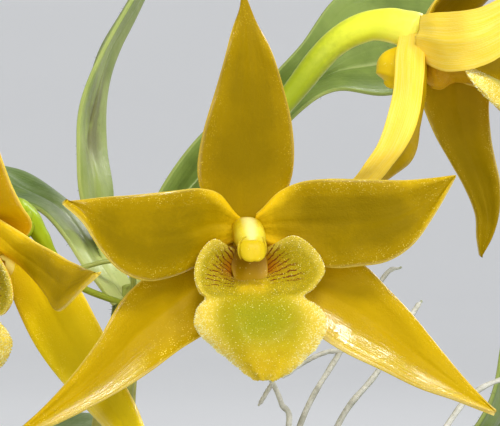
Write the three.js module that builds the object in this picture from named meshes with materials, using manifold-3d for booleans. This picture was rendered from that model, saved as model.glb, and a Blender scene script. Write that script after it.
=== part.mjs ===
// Potted Dendrobium trigonopus: a small clump of spindle-shaped pseudobulbs in bark, in a clay pot,
// with leathery leaves, silvery aerial roots and three waxy yellow flowers on the tallest stem.
// Millimetres, +Z up, origin at the centre of the pot's foot. The flowers face -Y.
import * as THREE from "three";
import { mergeVertices } from "three/addons/utils/BufferGeometryUtils.js";
import Module from "manifold-3d";

// Driving dimensions
const POT_HEIGHT = 72;
const POT_FOOT_RADIUS = 31;
const POT_NECK_RADIUS = 41;
const POT_RIM_RADIUS = 46;
const POT_RIM_HEIGHT = 15;
const POT_WALL = 4.5;
const POT_FLOOR = 6;
const DRAIN_RADIUS = 4;
const DRAIN_HOLES = 3;
const DRAIN_REACH = 16;
const POT_SIDES = 28;
const MEDIUM_TOP = 63;
const CHIP_COUNT = 22;
const BLADE_THICKNESS = 0.7;
const LEAF_THICKNESS = 1.1;
const GAP = 0.3;

const COLOURS = {
  clay: [0xb5674a, 0.85],
  bark: [0x6b4630, 0.9],
  root: [0xb9b8ab, 0.8],
  pseudobulb: [0xa7a04a, 0.55],
  leaf: [0x6f8a45, 0.5],
  pedicel: [0xc9cf3a, 0.45],
  sepal: [0xdcb411, 0.35],
  petal: [0xd9b012, 0.35],
  lip: [0xc3bf2c, 0.55],
  column: [0xf0dc4a, 0.4],
  anther: [0xf3e27a, 0.4],
};

const wasm = await Module();
wasm.setup();

const vec = ([x, y, z]) => new THREE.Vector3(x, y, z);
const lerp = (a, b, t) => a + (b - a) * t;

// A curve through the listed points, at even steps of its parameter.
const through = (points) => new THREE.CatmullRomCurve3(points.map(vec), false, "catmullrom", 0.5);

// The value at t of a list of [place, value] pairs, eased from each to the next.
function eased(pairs, t) {
  const last = pairs.length - 1;
  if (t <= pairs[0][0]) return pairs[0][1];
  if (t >= pairs[last][0]) return pairs[last][1];
  const i = pairs.findIndex(([place]) => place > t) - 1;
  const s = (t - pairs[i][0]) / (pairs[i + 1][0] - pairs[i][0]);
  return lerp(pairs[i][1], pairs[i + 1][1], s * s * (3 - 2 * s));
}

// Seeded random numbers, so that the bark and the roots come out alike each time.
function randomFrom(seed) {
  let state = seed;
  return () => {
    state = (state * 1664525 + 1013904223) % 4294967296;
    return state / 4294967296;
  };
}

// Solids and geometry

function solidOf(geometry) {
  const bare = geometry.clone();
  bare.deleteAttribute("normal");
  bare.deleteAttribute("uv");
  const merged = mergeVertices(bare, 1e-4);
  const mesh = new wasm.Mesh({
    numProp: 3,
    vertProperties: new Float32Array(merged.attributes.position.array),
    triVerts: new Uint32Array(merged.index.array),
  });
  return new wasm.Manifold(mesh);
}

function geometryOf(solid) {
  const mesh = solid.getMesh();
  const geometry = new THREE.BufferGeometry();
  geometry.setAttribute("position", new THREE.BufferAttribute(new Float32Array(mesh.vertProperties), 3));
  geometry.setIndex(new THREE.BufferAttribute(new Uint32Array(mesh.triVerts), 1));
  geometry.computeVertexNormals();
  return geometry;
}

// A solid from corner points and faces, turned face out if the points run the other way round.
function closedSolid(points, faces) {
  const geometry = new THREE.BufferGeometry();
  const positions = points.flatMap((p) => [p.x, p.y, p.z]);
  geometry.setAttribute("position", new THREE.Float32BufferAttribute(positions, 3));
  geometry.setIndex(faces.flat());
  const solid = solidOf(geometry);
  if (solid.volume() > 0) return solid;
  geometry.setIndex(faces.flatMap(([a, b, c]) => [a, c, b]));
  return solidOf(geometry);
}

// The largest body of a solid, after a cut has left small scraps.
function largest(solid) {
  const bodies = solid.decompose();
  return bodies.reduce((best, body) => (body.volume() > best.volume() ? body : best));
}

const cut = (solid, cutters) => largest(cutters.reduce((left, cutter) => left.subtract(cutter), solid));

// A thin solid about the surface point(u, v), with u from 0 to 1 along it and v from -1 to 1 across it.
// grow makes it that much larger all round, for a cutter that leaves a gap.
function slab(point, rows, columns, thickness, grow = 0) {
  const step = 1e-3;
  const front = [];
  const back = [];
  for (let i = 0; i <= rows; i++) {
    for (let j = 0; j <= columns; j++) {
      const u = i / rows;
      const v = lerp(-1, 1, j / columns);
      const u0 = Math.max(0, u - step);
      const u1 = Math.min(1, u + step);
      const along = point(u1, v).sub(point(u0, v)).normalize();
      const across = point(u, Math.min(1, v + step)).sub(point(u, Math.max(-1, v - step))).normalize();
      const normal = new THREE.Vector3().crossVectors(along, across).normalize();
      const p = point(u, v);
      if (i === 0 || i === rows) p.addScaledVector(along, i ? grow : -grow);
      if (j === 0 || j === columns) p.addScaledVector(across, j ? grow : -grow);
      front.push(p.clone().addScaledVector(normal, thickness / 2 + grow));
      back.push(p.clone().addScaledVector(normal, -thickness / 2 - grow));
    }
  }
  const at = (i, j) => i * (columns + 1) + j;
  const other = front.length;
  const faces = [];
  for (let i = 0; i < rows; i++) {
    for (let j = 0; j < columns; j++) {
      const [a, b, c, d] = [at(i, j), at(i + 1, j), at(i + 1, j + 1), at(i, j + 1)];
      faces.push([a, b, c], [a, c, d], [a + other, c + other, b + other], [a + other, d + other, c + other]);
    }
  }
  const rim = [];
  for (let j = 0; j < columns; j++) rim.push(at(0, j));
  for (let i = 0; i < rows; i++) rim.push(at(i, columns));
  for (let j = columns; j > 0; j--) rim.push(at(rows, j));
  for (let i = rows; i > 0; i--) rim.push(at(i, 0));
  rim.forEach((a, k) => {
    const b = rim[(k + 1) % rim.length];
    faces.push([a, b, b + other], [a, b + other, a + other]);
  });
  return closedSolid([...front, ...back], faces);
}

// How wide a blade is at u, as a share of its widest: it swells up to peak, then draws in to its tip.
const bladeShape = ({ base, peak, bend, tip }) => (u) => {
  if (u < peak) return base + (1 - base) * Math.sin((Math.PI / 2) * (u / peak));
  const x = (u - peak) / (1 - peak);
  return Math.max(0.05, (1 - x ** bend) ** tip);
};

// The surface of a leaf, sepal or petal: a spine, the way its width runs at its two ends, and its section.
function bladeSurface({ spine, side, half, shape, cup = 0, fold = 0, mirror = false }) {
  const curve = through(spine);
  const width = bladeShape(shape);
  const [sideBase, sideTip] = side.map(vec);
  return (u, v) => {
    const along = curve.getTangent(u);
    const across = sideBase.clone().lerp(sideTip, u);
    across.addScaledVector(along, -across.dot(along)).normalize();
    const out = new THREE.Vector3().crossVectors(along, across);
    const w = half * width(u);
    const p = curve.getPoint(u).addScaledVector(across, w * v);
    p.addScaledVector(out, w * (cup * v * v + fold * Math.abs(v)));
    if (mirror) p.x = -p.x;
    return p;
  };
}

// The surface of a leaf given by its midrib and its two edges.
function railedSurface({ left, middle, right }) {
  const [leftEdge, midrib, rightEdge] = [left, middle, right].map(through);
  return (u, v) => midrib.getPoint(u).lerp((v < 0 ? leftEdge : rightEdge).getPoint(u), Math.abs(v));
}

const blade = (form, { rows = 9, columns = 4, thickness = BLADE_THICKNESS, grow = 0 } = {}) =>
  slab(bladeSurface(form), rows, columns, thickness, grow);

// A closed tube along a spine. radius(u) is its size, and section(angle) shapes its outline.
function tube({ spine, radius, sides = 8, rows = 12, section = () => 1, up = [0, 0, 1] }, grow = 0) {
  const curve = through(spine);
  const reference = vec(up);
  const points = [];
  for (let i = 0; i <= rows; i++) {
    const u = i / rows;
    const along = curve.getTangent(u);
    const across = new THREE.Vector3().crossVectors(reference, along).normalize();
    const out = new THREE.Vector3().crossVectors(along, across);
    const centre = curve.getPoint(u);
    if (i === 0 || i === rows) centre.addScaledVector(along, i ? grow : -grow);
    for (let j = 0; j < sides; j++) {
      const angle = (j / sides) * 2 * Math.PI;
      const r = radius(u) * section(angle, u) + grow;
      const point = centre.clone().addScaledVector(across, r * Math.cos(angle));
      points.push(point.addScaledVector(out, r * Math.sin(angle)));
    }
  }
  const faces = [];
  for (let i = 0; i < rows; i++) {
    for (let j = 0; j < sides; j++) {
      const k = (j + 1) % sides;
      const [a, b, c, d] = [i * sides + j, i * sides + k, (i + 1) * sides + k, (i + 1) * sides + j];
      faces.push([a, b, c], [a, c, d]);
    }
  }
  for (let j = 1; j < sides - 1; j++) {
    faces.push([0, j + 1, j]);
    faces.push([rows * sides, rows * sides + j, rows * sides + j + 1]);
  }
  return closedSolid(points, faces);
}

// Pot: a tapered clay pot with a deep plain rim and three drain holes round its middle

// A profile that starts and ends on the axis, turned about +Z.
function lathe(profile) {
  const solidFrom = (points) => {
    const outline = points.map(([r, z]) => new THREE.Vector2(r, z));
    return solidOf(new THREE.LatheGeometry(outline, POT_SIDES).rotateX(Math.PI / 2));
  };
  const solid = solidFrom(profile);
  return solid.volume() > 0 ? solid : solidFrom([...profile].reverse());
}

function potSolid() {
  const shoulder = POT_HEIGHT - POT_RIM_HEIGHT;
  const innerTop = POT_RIM_RADIUS - POT_WALL;
  const innerFloor = POT_FOOT_RADIUS - POT_WALL + 1;
  const shell = lathe([
    [0, 0],
    [POT_FOOT_RADIUS - 1, 0],
    [POT_FOOT_RADIUS, 1],
    [POT_NECK_RADIUS, shoulder],
    [POT_RIM_RADIUS - 1, shoulder + 1],
    [POT_RIM_RADIUS, shoulder + 2.5],
    [POT_RIM_RADIUS, POT_HEIGHT - 1],
    [POT_RIM_RADIUS - 1, POT_HEIGHT],
    [innerTop + 1, POT_HEIGHT],
    [innerTop, POT_HEIGHT - 1],
    [innerTop - 3, shoulder],
    [innerFloor, POT_FLOOR],
    [0, POT_FLOOR],
  ]);
  const holes = [...Array(DRAIN_HOLES).keys()].map((i) => {
    const drill = new THREE.CylinderGeometry(DRAIN_RADIUS, DRAIN_RADIUS, 3 * POT_FLOOR, 12);
    const angle = (i / DRAIN_HOLES) * 2 * Math.PI + Math.PI / 6;
    drill.rotateX(Math.PI / 2);
    return solidOf(drill.translate(DRAIN_REACH * Math.cos(angle), DRAIN_REACH * Math.sin(angle), 0));
  });
  return cut(shell, holes);
}

// The space that the bark fills, a gap clear of the pot's wall and floor.
function potFilling(top) {
  const shoulder = POT_HEIGHT - POT_RIM_HEIGHT;
  const innerTop = POT_RIM_RADIUS - POT_WALL - GAP * 1.5;
  const innerFloor = POT_FOOT_RADIUS - POT_WALL + 1 - GAP * 1.5;
  const slope = 3 / POT_RIM_HEIGHT;
  return lathe([
    [0, POT_FLOOR + GAP],
    [innerFloor, POT_FLOOR + GAP],
    [innerTop - 3, shoulder],
    [innerTop - 3 + slope * (top - shoulder), top],
    [0, top],
  ]);
}

// Stems: pseudobulbs swollen in the middle, with a ring at each joint

const STEM_RINGS = [3 / 18, 7 / 18, 11 / 18, 15 / 18];
const STEM_PROFILE = [
  [0, 0.5],
  [0.14, 0.76],
  [0.34, 1],
  [0.54, 0.78],
  [0.68, 0.46],
  [0.8, 0.38],
  [1, 0.36],
];

const STEMS = {
  pseudobulb_1: { spine: [[-10.4, 2.2, 59], [-11.8, 2.4, 82], [-12.2, 2.2, 104], [-9, 2, 124]], swell: 6.2 },
  pseudobulb_2: { spine: [[-1, 15, 59], [-2, 17.5, 80], [-4.5, 21, 100]], swell: 6 },
  pseudobulb_3: { spine: [[12.5, 3, 59], [20, 4.6, 79], [30, 7.5, 97]], swell: 6.4 },
  pseudobulb_4: { spine: [[-17, 12.5, 59], [-23, 15, 79], [-30, 18.5, 98]], swell: 5.8 },
  pseudobulb_5: { spine: [[0, -10.5, 59], [1, -13.5, 73], [3, -16.5, 86]], swell: 4.6 },
  pseudobulb_6: { spine: [[11, 17, 59], [15, 21, 78], [17, 26, 93]], swell: 5.2 },
};

// A dry bract left at the top of the tallest stem, where an older flower was.
const DRY_BRACT = {
  spine: [[-9.4, 0.8, 122.6], [-9.2, -1.6, 126.4], [-11.6, -2.6, 128.4], [-16.2, -3, 127.5]],
};

const stemForm = ({ spine, swell }) => ({
  spine,
  radius: (u) => {
    const nearest = Math.min(...STEM_RINGS.map((ring) => Math.abs(ring - u)));
    return swell * eased(STEM_PROFILE, u) * (nearest < 0.02 ? 1.07 : 1);
  },
  section: (angle) => 1 + 0.05 * Math.cos(4 * angle),
  sides: 8,
  rows: 18,
  up: [0, 1, 0],
});

// Leaves: leathery strap-shaped blades, folded along the midrib, two or three near the top of a stem

const LEAF_SHAPE = { base: 0.42, peak: 0.42, bend: 2.4, tip: 0.9 };

// The three leaves of the tallest stem, by their midrib and their two edges.
const RAILED_LEAVES = {
  leaf_1_left: {
    left: [
      [-10.8, 2, 125], [-13, 5.5, 128.4], [-15.9, 12.3, 133.1], [-19.8, 16.5, 137.2],
      [-25.1, 20.1, 140.3], [-30.4, 23.2, 142.3], [-39.3, 25.6, 144.4], [-49.6, 26.6, 144.4],
      [-59.6, 25.5, 141.4],
    ],
    middle: [
      [-11.3, 0.8, 124.3], [-14, 2, 127.8], [-17.1, 6, 132.3], [-21, 9, 136.1], [-25.9, 12, 138.6],
      [-31, 15, 140.4], [-39.3, 18.5, 142.3], [-49.5, 22, 142.8], [-59.7, 25, 141.3],
    ],
    right: [
      [-12.1, -0.3, 123.8], [-15, -1.6, 127.4], [-18.3, -0.3, 131.4], [-22.2, 1.5, 135.1],
      [-26.8, 3.9, 136.8], [-31.6, 6.8, 138.4], [-39.2, 11.4, 140.2], [-49.3, 17.5, 141.1],
      [-59.7, 24.5, 141.1],
    ],
  },
  leaf_1_up: {
    left: [
      [-11.5, 3.3, 124.5], [-14.5, 1.9, 131.2], [-16.6, 0.5, 137.4], [-17, 1.9, 143.8],
      [-16.7, 6.2, 150.9], [-14.4, 12.5, 158.4], [-10.7, 20.6, 166.4], [-6.5, 29.7, 174.1],
      [-1.7, 39.5, 181.4],
    ],
    middle: [
      [-11.1, 4.6, 124.3], [-13.7, 5.6, 131.2], [-15.1, 6, 137.5], [-16, 8.5, 144], [-15.6, 13, 151.3],
      [-13.5, 19, 158.9], [-10.2, 26, 166.9], [-6, 33, 174.8], [-1.7, 40, 181.5],
    ],
    right: [
      [-10.5, 5.8, 124.4], [-12.5, 9.1, 131.3], [-13.1, 11.3, 137.9], [-14.2, 14.9, 144.1],
      [-14.3, 19.8, 151.6], [-12.6, 25.5, 159.3], [-9.5, 31.3, 167.3], [-5.3, 36.3, 175.5],
      [-1.6, 40.5, 181.6],
    ],
  },
  leaf_1_right: {
    left: [
      [-10, 4.4, 124.8], [-8.2, 5.8, 132], [-5.4, 6.4, 138.8], [0.3, 9.3, 146.5], [7.9, 12.8, 152.4],
      [14, 16.8, 159], [21.1, 24, 167.9], [32.6, 28.5, 168.3], [45.2, 33.8, 159.9],
    ],
    middle: [
      [-9.6, 5, 124.3], [-6.7, 7.6, 130.3], [-3, 9, 136.8], [3.8, 12.4, 144.3], [11.2, 16.4, 150.9],
      [18.9, 20, 155.1], [25.9, 24, 157.2], [34.1, 28.5, 159.6], [45.4, 34, 159.8],
    ],
    right: [
      [-9, 3.6, 124.1], [-4.8, 3.6, 129], [0, 3.4, 134.9], [7.3, 5.4, 142.2], [13.8, 8.1, 149.6],
      [19.2, 10.9, 152.5], [26.6, 16, 152.1], [35.2, 23.6, 154.8], [45.5, 33.6, 159.5],
    ],
  },
};

const LEAVES = {
  leaf_3_up: {
    spine: [[31, 7.8, 96.5], [41.5, 8.5, 104], [49.5, 10, 120], [50, 13, 140], [46, 18, 157]],
    side: [[0.2, 0.95, -0.2], [0.75, 0.6, 0.25]],
    half: 8.5,
    fold: 0.22,
  },
  leaf_3_right: {
    spine: [[30.5, 6, 94.5], [42, 1, 97.4], [57, -6, 98], [73, -13, 93.5], [86, -18, 84]],
    side: [[0.2, 0.9, 0.2], [0.2, 0.95, 0.25]],
    half: 9,
    fold: 0.2,
  },
  leaf_3_back: {
    spine: [[29.5, 10, 94.5], [35.5, 22, 96.6], [43, 36, 96.4], [50, 52, 92], [54, 66, 83]],
    side: [[-0.95, 0.3, 0.1], [-0.9, 0.35, 0.3]],
    half: 8.5,
    fold: 0.22,
  },
  leaf_4_left: {
    spine: [[-31.2, 18, 97], [-40, 17, 104.5], [-54, 14, 109], [-69, 10, 106], [-82, 6, 97]],
    side: [[0.1, 0.95, 0.1], [-0.1, 0.98, -0.2]],
    half: 9,
    fold: 0.2,
  },
  leaf_4_up: {
    spine: [[-30.8, 20.4, 98], [-37.5, 26, 108], [-45, 33, 122], [-51, 42, 134], [-55, 53, 142]],
    side: [[0.7, 0.6, -0.3], [0.85, 0.5, 0.1]],
    half: 8.5,
    fold: 0.25,
  },
  leaf_4_back: {
    spine: [[-28.5, 20.5, 96.5], [-25, 32, 101], [-20, 45, 103], [-13, 58, 98], [-6, 68, 89]],
    side: [[0.95, -0.2, 0.1], [0.9, -0.4, 0.1]],
    half: 8,
    fold: 0.2,
  },
  leaf_5_front: {
    spine: [[3.4, -18.2, 84.5], [9, -25, 91], [17, -34, 94], [25, -44, 90], [31, -53, 82]],
    side: [[0.8, 0.6, 0], [0.75, 0.6, 0.3]],
    half: 7,
    fold: 0.25,
  },
  leaf_5_left: {
    spine: [[1.6, -17.2, 84.5], [-5, -22, 92], [-14, -27, 97], [-24, -32, 97], [-34, -37, 91]],
    side: [[-0.4, 0.9, 0], [-0.5, 0.8, 0.3]],
    half: 6.5,
    fold: 0.25,
  },
};

// Flowers. Each is modelled facing -Y with its column at the origin, x to the viewer's right, then turned.

const OPEN_TEPALS = {
  dorsal_sepal: {
    spine: [
      [0, 2.4, 0.4], [0.2, 1.8, 6.4], [0.8, 0.4, 12.8], [1.2, -0.8, 19.2], [1.2, -1.2, 25.7],
      [1.2, -0.2, 32.4],
    ],
    side: [[1, 0, 0], [1, 0, 0]],
    half: 6.2,
    shape: { base: 0.3, peak: 0.3, bend: 1.7, tip: 1.25 },
    cup: -0.12,
  },
  petal: {
    spine: [[2.5, 1, 1.5], [8, -1.2, 1.2], [13.5, -3.9, 0.9], [19.5, -6.6, 2.6], [25.8, -8.9, 6.6]],
    side: [[0, 0, 1], [0, 0, 1]],
    half: 5.7,
    shape: { base: 0.4, peak: 0.46, bend: 2, tip: 1 },
    cup: 0.14,
  },
  lateral_sepal: {
    spine: [[1.9, 3.2, -2.2], [8, 1, -6.3], [15.2, -0.8, -11.8], [23, -2.4, -17.9], [31, -3.8, -24]],
    side: [[0.62, 0.1, 0.78], [0.6, 0.3, 0.76]],
    half: 5.3,
    shape: { base: 0.5, peak: 0.24, bend: 1.6, tip: 1 },
    cup: 0.08,
    fold: 0.14,
  },
  left_lateral_sepal: {
    spine: [[1.9, 3.2, -2.2], [8.2, 1, -6.7], [15.4, -0.8, -12.4], [23.2, -2.4, -18.7], [31, -3.8, -24.2]],
    side: [[0.62, 0.1, 0.78], [0.6, 0.3, 0.76]],
    half: 6,
    shape: { base: 0.45, peak: 0.26, bend: 1.6, tip: 1 },
    cup: 0.08,
    fold: 0.14,
  },
};

// The same, with the upper sepal leaning the other way and the petals lower.
const OPEN_TEPALS_TURNED = {
  ...OPEN_TEPALS,
  dorsal_sepal: { ...OPEN_TEPALS.dorsal_sepal, mirror: true },
  petal: {
    ...OPEN_TEPALS.petal,
    spine: [[2.5, 1, 1.5], [8, -1.2, 1.1], [13.5, -3.9, 0.4], [20, -6.5, 1.3], [26.8, -8.7, 4.8]],
  },
  lateral_sepal: {
    ...OPEN_TEPALS.lateral_sepal,
    spine: [[1.9, 3.2, -2.2], [8.8, 1, -6], [16.2, -0.8, -11.2], [24, -2.4, -17.3], [32, -3.8, -23.6]],
    half: 6.1,
  },
};

const HALF_OPEN_TEPALS = {
  dorsal_sepal: {
    ...OPEN_TEPALS.dorsal_sepal,
    spine: [[0, 2.4, 0.4], [0, 1.6, 4.4], [0, -1.3, 10.8], [0, -5, 17], [0, -9.8, 22.6], [0, -15.5, 27.5]],
    cup: -0.3,
  },
  petal: {
    ...OPEN_TEPALS.petal,
    spine: [[2.4, 0.9, 1], [4.6, -2.4, 0], [6.2, -6.6, 1], [7.8, -12.3, 4.2], [8.5, -19.4, 10.4]],
    side: [[0.16, 0.43, 0.88], [0.16, 0.43, 0.88]],
    cup: 0.2,
  },
  lateral_sepal: {
    ...OPEN_TEPALS.lateral_sepal,
    spine: [
      [1.9, 3.3, -2.9], [4.6, 0, -7.2], [7.8, -3.6, -11.4], [12.5, -6.4, -15.3], [17.2, -8, -19.8],
      [20.4, -8.3, -25.1],
    ],
    side: [[0.35, -0.6, 0.7], [0.28, -0.78, 0.55]],
  },
  left_lateral_sepal: {
    ...OPEN_TEPALS.lateral_sepal,
    spine: [
      [1.9, 3.3, -2.9], [4.8, 1.1, -7.4], [7.3, -0.2, -12.3], [8.9, -0.2, -16.7], [9.4, 1.6, -20.6],
      [9, 5.6, -24.6],
    ],
    side: [[0.9, -0.33, 0.25], [0.85, -0.5, 0.1]],
    fold: 0.3,
  },
};

// The lip, as rows from its claw to its tip: the middle, the right edge, and how far the half between bows.
const LIP_ROWS = [
  { middle: [0, 0.8, -5.4], edge: [2.2, 0.1, -4], bow: [0.4, 0, -0.3] },
  { middle: [0, -0.3, -5.2], edge: [5.3, -2.2, 0.3], bow: [1.2, 0, -0.7] },
  { middle: [0, -2.2, -5.6], edge: [8.4, -3.6, -3.2], bow: [1, -0.4, -0.6] },
  { middle: [0, -4, -6.7], edge: [6.1, -4.2, -7.1], bow: [0, -0.6, 0.3] },
  { middle: [0, -6.4, -9.2], edge: [8.6, -4.4, -10.2], bow: [0.8, -1, 0.6] },
  { middle: [0, -8.3, -12.6], edge: [7.4, -5.6, -13.4], bow: [0.8, -1, 0.3] },
  { middle: [0, -9.2, -15.4], edge: [4.4, -7.6, -16.2], bow: [0.5, -0.5, 0] },
  { middle: [0, -8.9, -17.1], edge: [1.2, -8.6, -17.5], bow: [0.1, 0, 0] },
];

function lipSurface(pitch) {
  const middle = through(LIP_ROWS.map((row) => row.middle));
  const edge = through(LIP_ROWS.map((row) => row.edge));
  const bow = through(LIP_ROWS.map((row) => row.bow));
  const hinge = new THREE.Vector3(0, 1.5, -5);
  const sideways = new THREE.Vector3(1, 0, 0);
  const tilt = new THREE.Quaternion().setFromAxisAngle(sideways, -THREE.MathUtils.degToRad(pitch));
  return (u, v) => {
    const s = Math.abs(v);
    const p = middle.getPoint(u).lerp(edge.getPoint(u), s).addScaledVector(bow.getPoint(u), 4 * s * (1 - s));
    if (v < 0) p.x = -p.x;
    return p.sub(hinge).applyQuaternion(tilt).add(hinge);
  };
}

// The column ends in front in the anther cap, and behind in a foot, the rounded chin under the ovary.
const COLUMN = {
  spine: [[0, 1.6, 1.2], [0, -1, 0.9], [0, -3, 0.1], [0, -4.6, -0.8]],
  radius: (u) => 2.15 * eased([[0, 0.9], [0.4, 1], [0.85, 0.94], [1, 0.7]], u),
  sides: 8,
  rows: 4,
};
const FOOT = {
  spine: [[0, 0.2, 0.2], [0, 2.6, -2.2], [0, 4.4, -4.6], [0, 4.8, -7.2]],
  radius: (u) => eased([[0, 1.4], [0.4, 1.8], [0.72, 2.8], [0.9, 2.4], [1, 1]], u),
  sides: 8,
  rows: 7,
  up: [1, 0, 0],
};
const ANTHER = {
  spine: [[0, -4.95, -0.98], [0, -5.7, -1.36], [0, -6.4, -1.8]],
  radius: (u) => eased([[0, 1.5], [0.45, 1.8], [1, 1.05]], u),
  sides: 8,
  rows: 3,
};

// Where an ovary ends behind its flower, in the flower's own frame, and the point before that.
const OVARY_END = [[0, 3.25, 1.2], [0, 6.2, 2.2]];
const OVARY_GIRTH = [[0, 0.8], [0.35, 0.95], [0.62, 1.4], [0.86, 1.95], [1, 1.85]];

const FLOWERS = {
  flower_1: {
    place: [6.6, -24, 131.5],
    yaw: 10,
    pitch: 0,
    roll: 3,
    lipPitch: 0,
    tepals: OPEN_TEPALS,
    pedicel: [
      [-9.4, 0.2, 118], [-7.6, -2.8, 123.6], [-3.8, -6.2, 130.8], [0.8, -10.4, 136.6], [4.6, -15.4, 138],
    ],
  },
  flower_2: {
    place: [32.4, -6, 158.6],
    yaw: 70,
    pitch: 12,
    roll: -10,
    lipPitch: 42,
    tepals: HALF_OPEN_TEPALS,
    girth: [[0, 1], [0.3, 1.2], [0.5, 1.6], [0.75, 2.2], [0.92, 2.4], [1, 2]],
    pedicel: [
      [-8.8, 1.8, 116], [-3.6, 0.4, 127], [2, -0.8, 137], [7.2, -1, 144.5], [12, -0.8, 149.8],
      [16.7, -1.2, 155.9], [20.1, -1.8, 158.6], [23.5, -2.8, 160.1],
    ],
  },
  flower_3: {
    place: [-28.2, -10, 129.4],
    yaw: -40,
    pitch: 15,
    roll: -10,
    lipPitch: 0,
    tepals: OPEN_TEPALS_TURNED,
    girth: [[0, 0.5], [0.3, 0.55], [0.5, 1.2], [0.8, 1.9], [1, 1.85]],
    pedicel: [
      [-9.4, 0.9, 122], [-12, -0.6, 123], [-16.4, -2, 124.7], [-18.7, -3.5, 128.3], [-20, -4.4, 132],
      [-22.4, -4.8, 134.9], [-25, -5.4, 135.2],
    ],
  },
};

const turned = ({ place, yaw, pitch, roll }) => {
  const [x, y, z] = [pitch, -roll, yaw].map(THREE.MathUtils.degToRad);
  const turn = new THREE.Quaternion().setFromEuler(new THREE.Euler(x, y, z, "ZXY"));
  return new THREE.Matrix4().compose(vec(place), turn, new THREE.Vector3(1, 1, 1));
};

// The three-angled ovary and its stalk, from the stem to the back of the flower.
function pedicelForm(flower) {
  const frame = turned(flower);
  const ends = [...OVARY_END].reverse().map((p) => vec(p).applyMatrix4(frame).toArray());
  const { girth = OVARY_GIRTH } = flower;
  return {
    spine: [...flower.pedicel, ...ends],
    radius: (u) => eased(girth, u),
    section: (angle, u) => 1 + 0.12 * eased([[0.3, 0], [0.8, 1]], u) * Math.cos(3 * angle),
    sides: 7,
    rows: 12,
  };
}

// Roots

// Roots that rise clear of the bark among the stems, by their spine and how thick they are at both ends.
const HELD_ROOTS = [
  {
    spine: [
      [3, 5, 61.5], [8, 3.6, 82], [13.8, 4, 104.6], [19.7, 5, 115.5], [25.8, 7, 125.8], [28.4, 8, 127.3],
    ],
    thick: [0.6, 0.4],
  },
  {
    spine: [
      [8, 6, 61.5], [13, 6.4, 86], [19.2, 6, 104.6], [25, 6.2, 112.6], [30, 7, 120.8], [31.3, 7.6, 122.5],
    ],
    thick: [0.65, 0.42],
  },
  {
    spine: [[19.9, 5, 115.6], [17.4, 4.4, 115.4], [14, 3.6, 113.7], [11.6, 3, 112]],
    thick: [0.45, 0.38],
  },
  {
    spine: [
      [-3, 4, 61.5], [6, -2, 86], [12.1, -1.2, 104.6], [11.3, -1.4, 108.8], [10, -2, 111.9],
      [8.8, -3, 114.4],
    ],
    thick: [0.6, 0.38],
  },
  {
    spine: [[10.1, -1.9, 111.6], [9.2, -2.4, 110.2], [8.2, -2.8, 108.6]],
    thick: [0.42, 0.36],
  },
  {
    spine: [
      [6, 3, 61.5], [19, -6, 84], [32.4, -7.4, 104.4], [37.7, -6, 110.7], [44.6, -5, 113.4],
    ],
    thick: [0.65, 0.42],
  },
];
const RHIZOME = {
  spine: [[-16, 9.5, 62.6], [-9, 8.4, 62.6], [-2, 5, 62.8], [5, 6, 62.6], [10.5, 10.5, 62.4]],
  radius: (u) => eased([[0, 1.6], [0.15, 2.6], [0.85, 2.6], [1, 1.6]], u),
  sides: 7,
  rows: 7,
};
const TRAILING_ROOTS = 4;
const DIVING_ROOTS = 6;

// A root that runs over the bark and the rim and hangs outside the pot, and one that dives into the bark.
const polar = (r, angle, z, centre) => [centre[0] + r * Math.cos(angle), centre[1] + r * Math.sin(angle), z];

function rootForms() {
  const random = randomFrom(11);
  const forms = HELD_ROOTS.map(({ spine, thick: [base, tip] }) => {
    return { spine, radius: (u) => lerp(base, tip, u), sides: 5, rows: 8, up: [0, 1, 0] };
  });
  const knot = [-1, 6];
  for (let i = 0; i < TRAILING_ROOTS; i++) {
    const angle = -2.45 + (i * 2 * Math.PI) / TRAILING_ROOTS + 0.35 * random();
    const sway = 0.18 * (random() - 0.5);
    const drop = 40 + 14 * random();
    const spine = [
      polar(2, angle, 63.5, knot),
      polar(14, angle + sway, 70.5, [0, 4]),
      polar(30, angle + sway, 72.5, [0, 0]),
      polar(43, angle, 74.6, [0, 0]),
      polar(49.5, angle - sway, 71, [0, 0]),
      polar(49, angle - 2 * sway, drop + 10, [0, 0]),
      polar(48, angle - 3 * sway, drop, [0, 0]),
    ];
    const radius = (u) => eased([[0, 1.3], [0.9, 1.15], [1, 0.6]], u);
    forms.push({ spine, radius, sides: 5, rows: 11, up: [0, 0, 1] });
  }
  for (let i = 0; i < DIVING_ROOTS; i++) {
    const angle = 0.25 + (i * 2 * Math.PI) / DIVING_ROOTS + 0.3 * random();
    const reach = 19 + 8 * random();
    const spine = [
      polar(2, angle, 62.5, [knot[0], knot[1]]),
      polar(10, angle, 68.5 + 2 * random(), [0, 4]),
      polar(reach - 4, angle + 0.15, 69, [0, 1]),
      polar(reach, angle + 0.2, 61, [0, 0]),
    ];
    forms.push({ spine, radius: () => 1.1, sides: 5, rows: 5, up: [0.3, 0.2, 1] });
  }
  return forms;
}

function rootsSolid(grow = 0) {
  const parts = rootForms().map((form) => tube(form, grow));
  return parts.reduce((all, part) => all.add(part), tube(RHIZOME, grow));
}

// Bark: rough chips sunk in a body of the same bark that fills the pot

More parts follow.
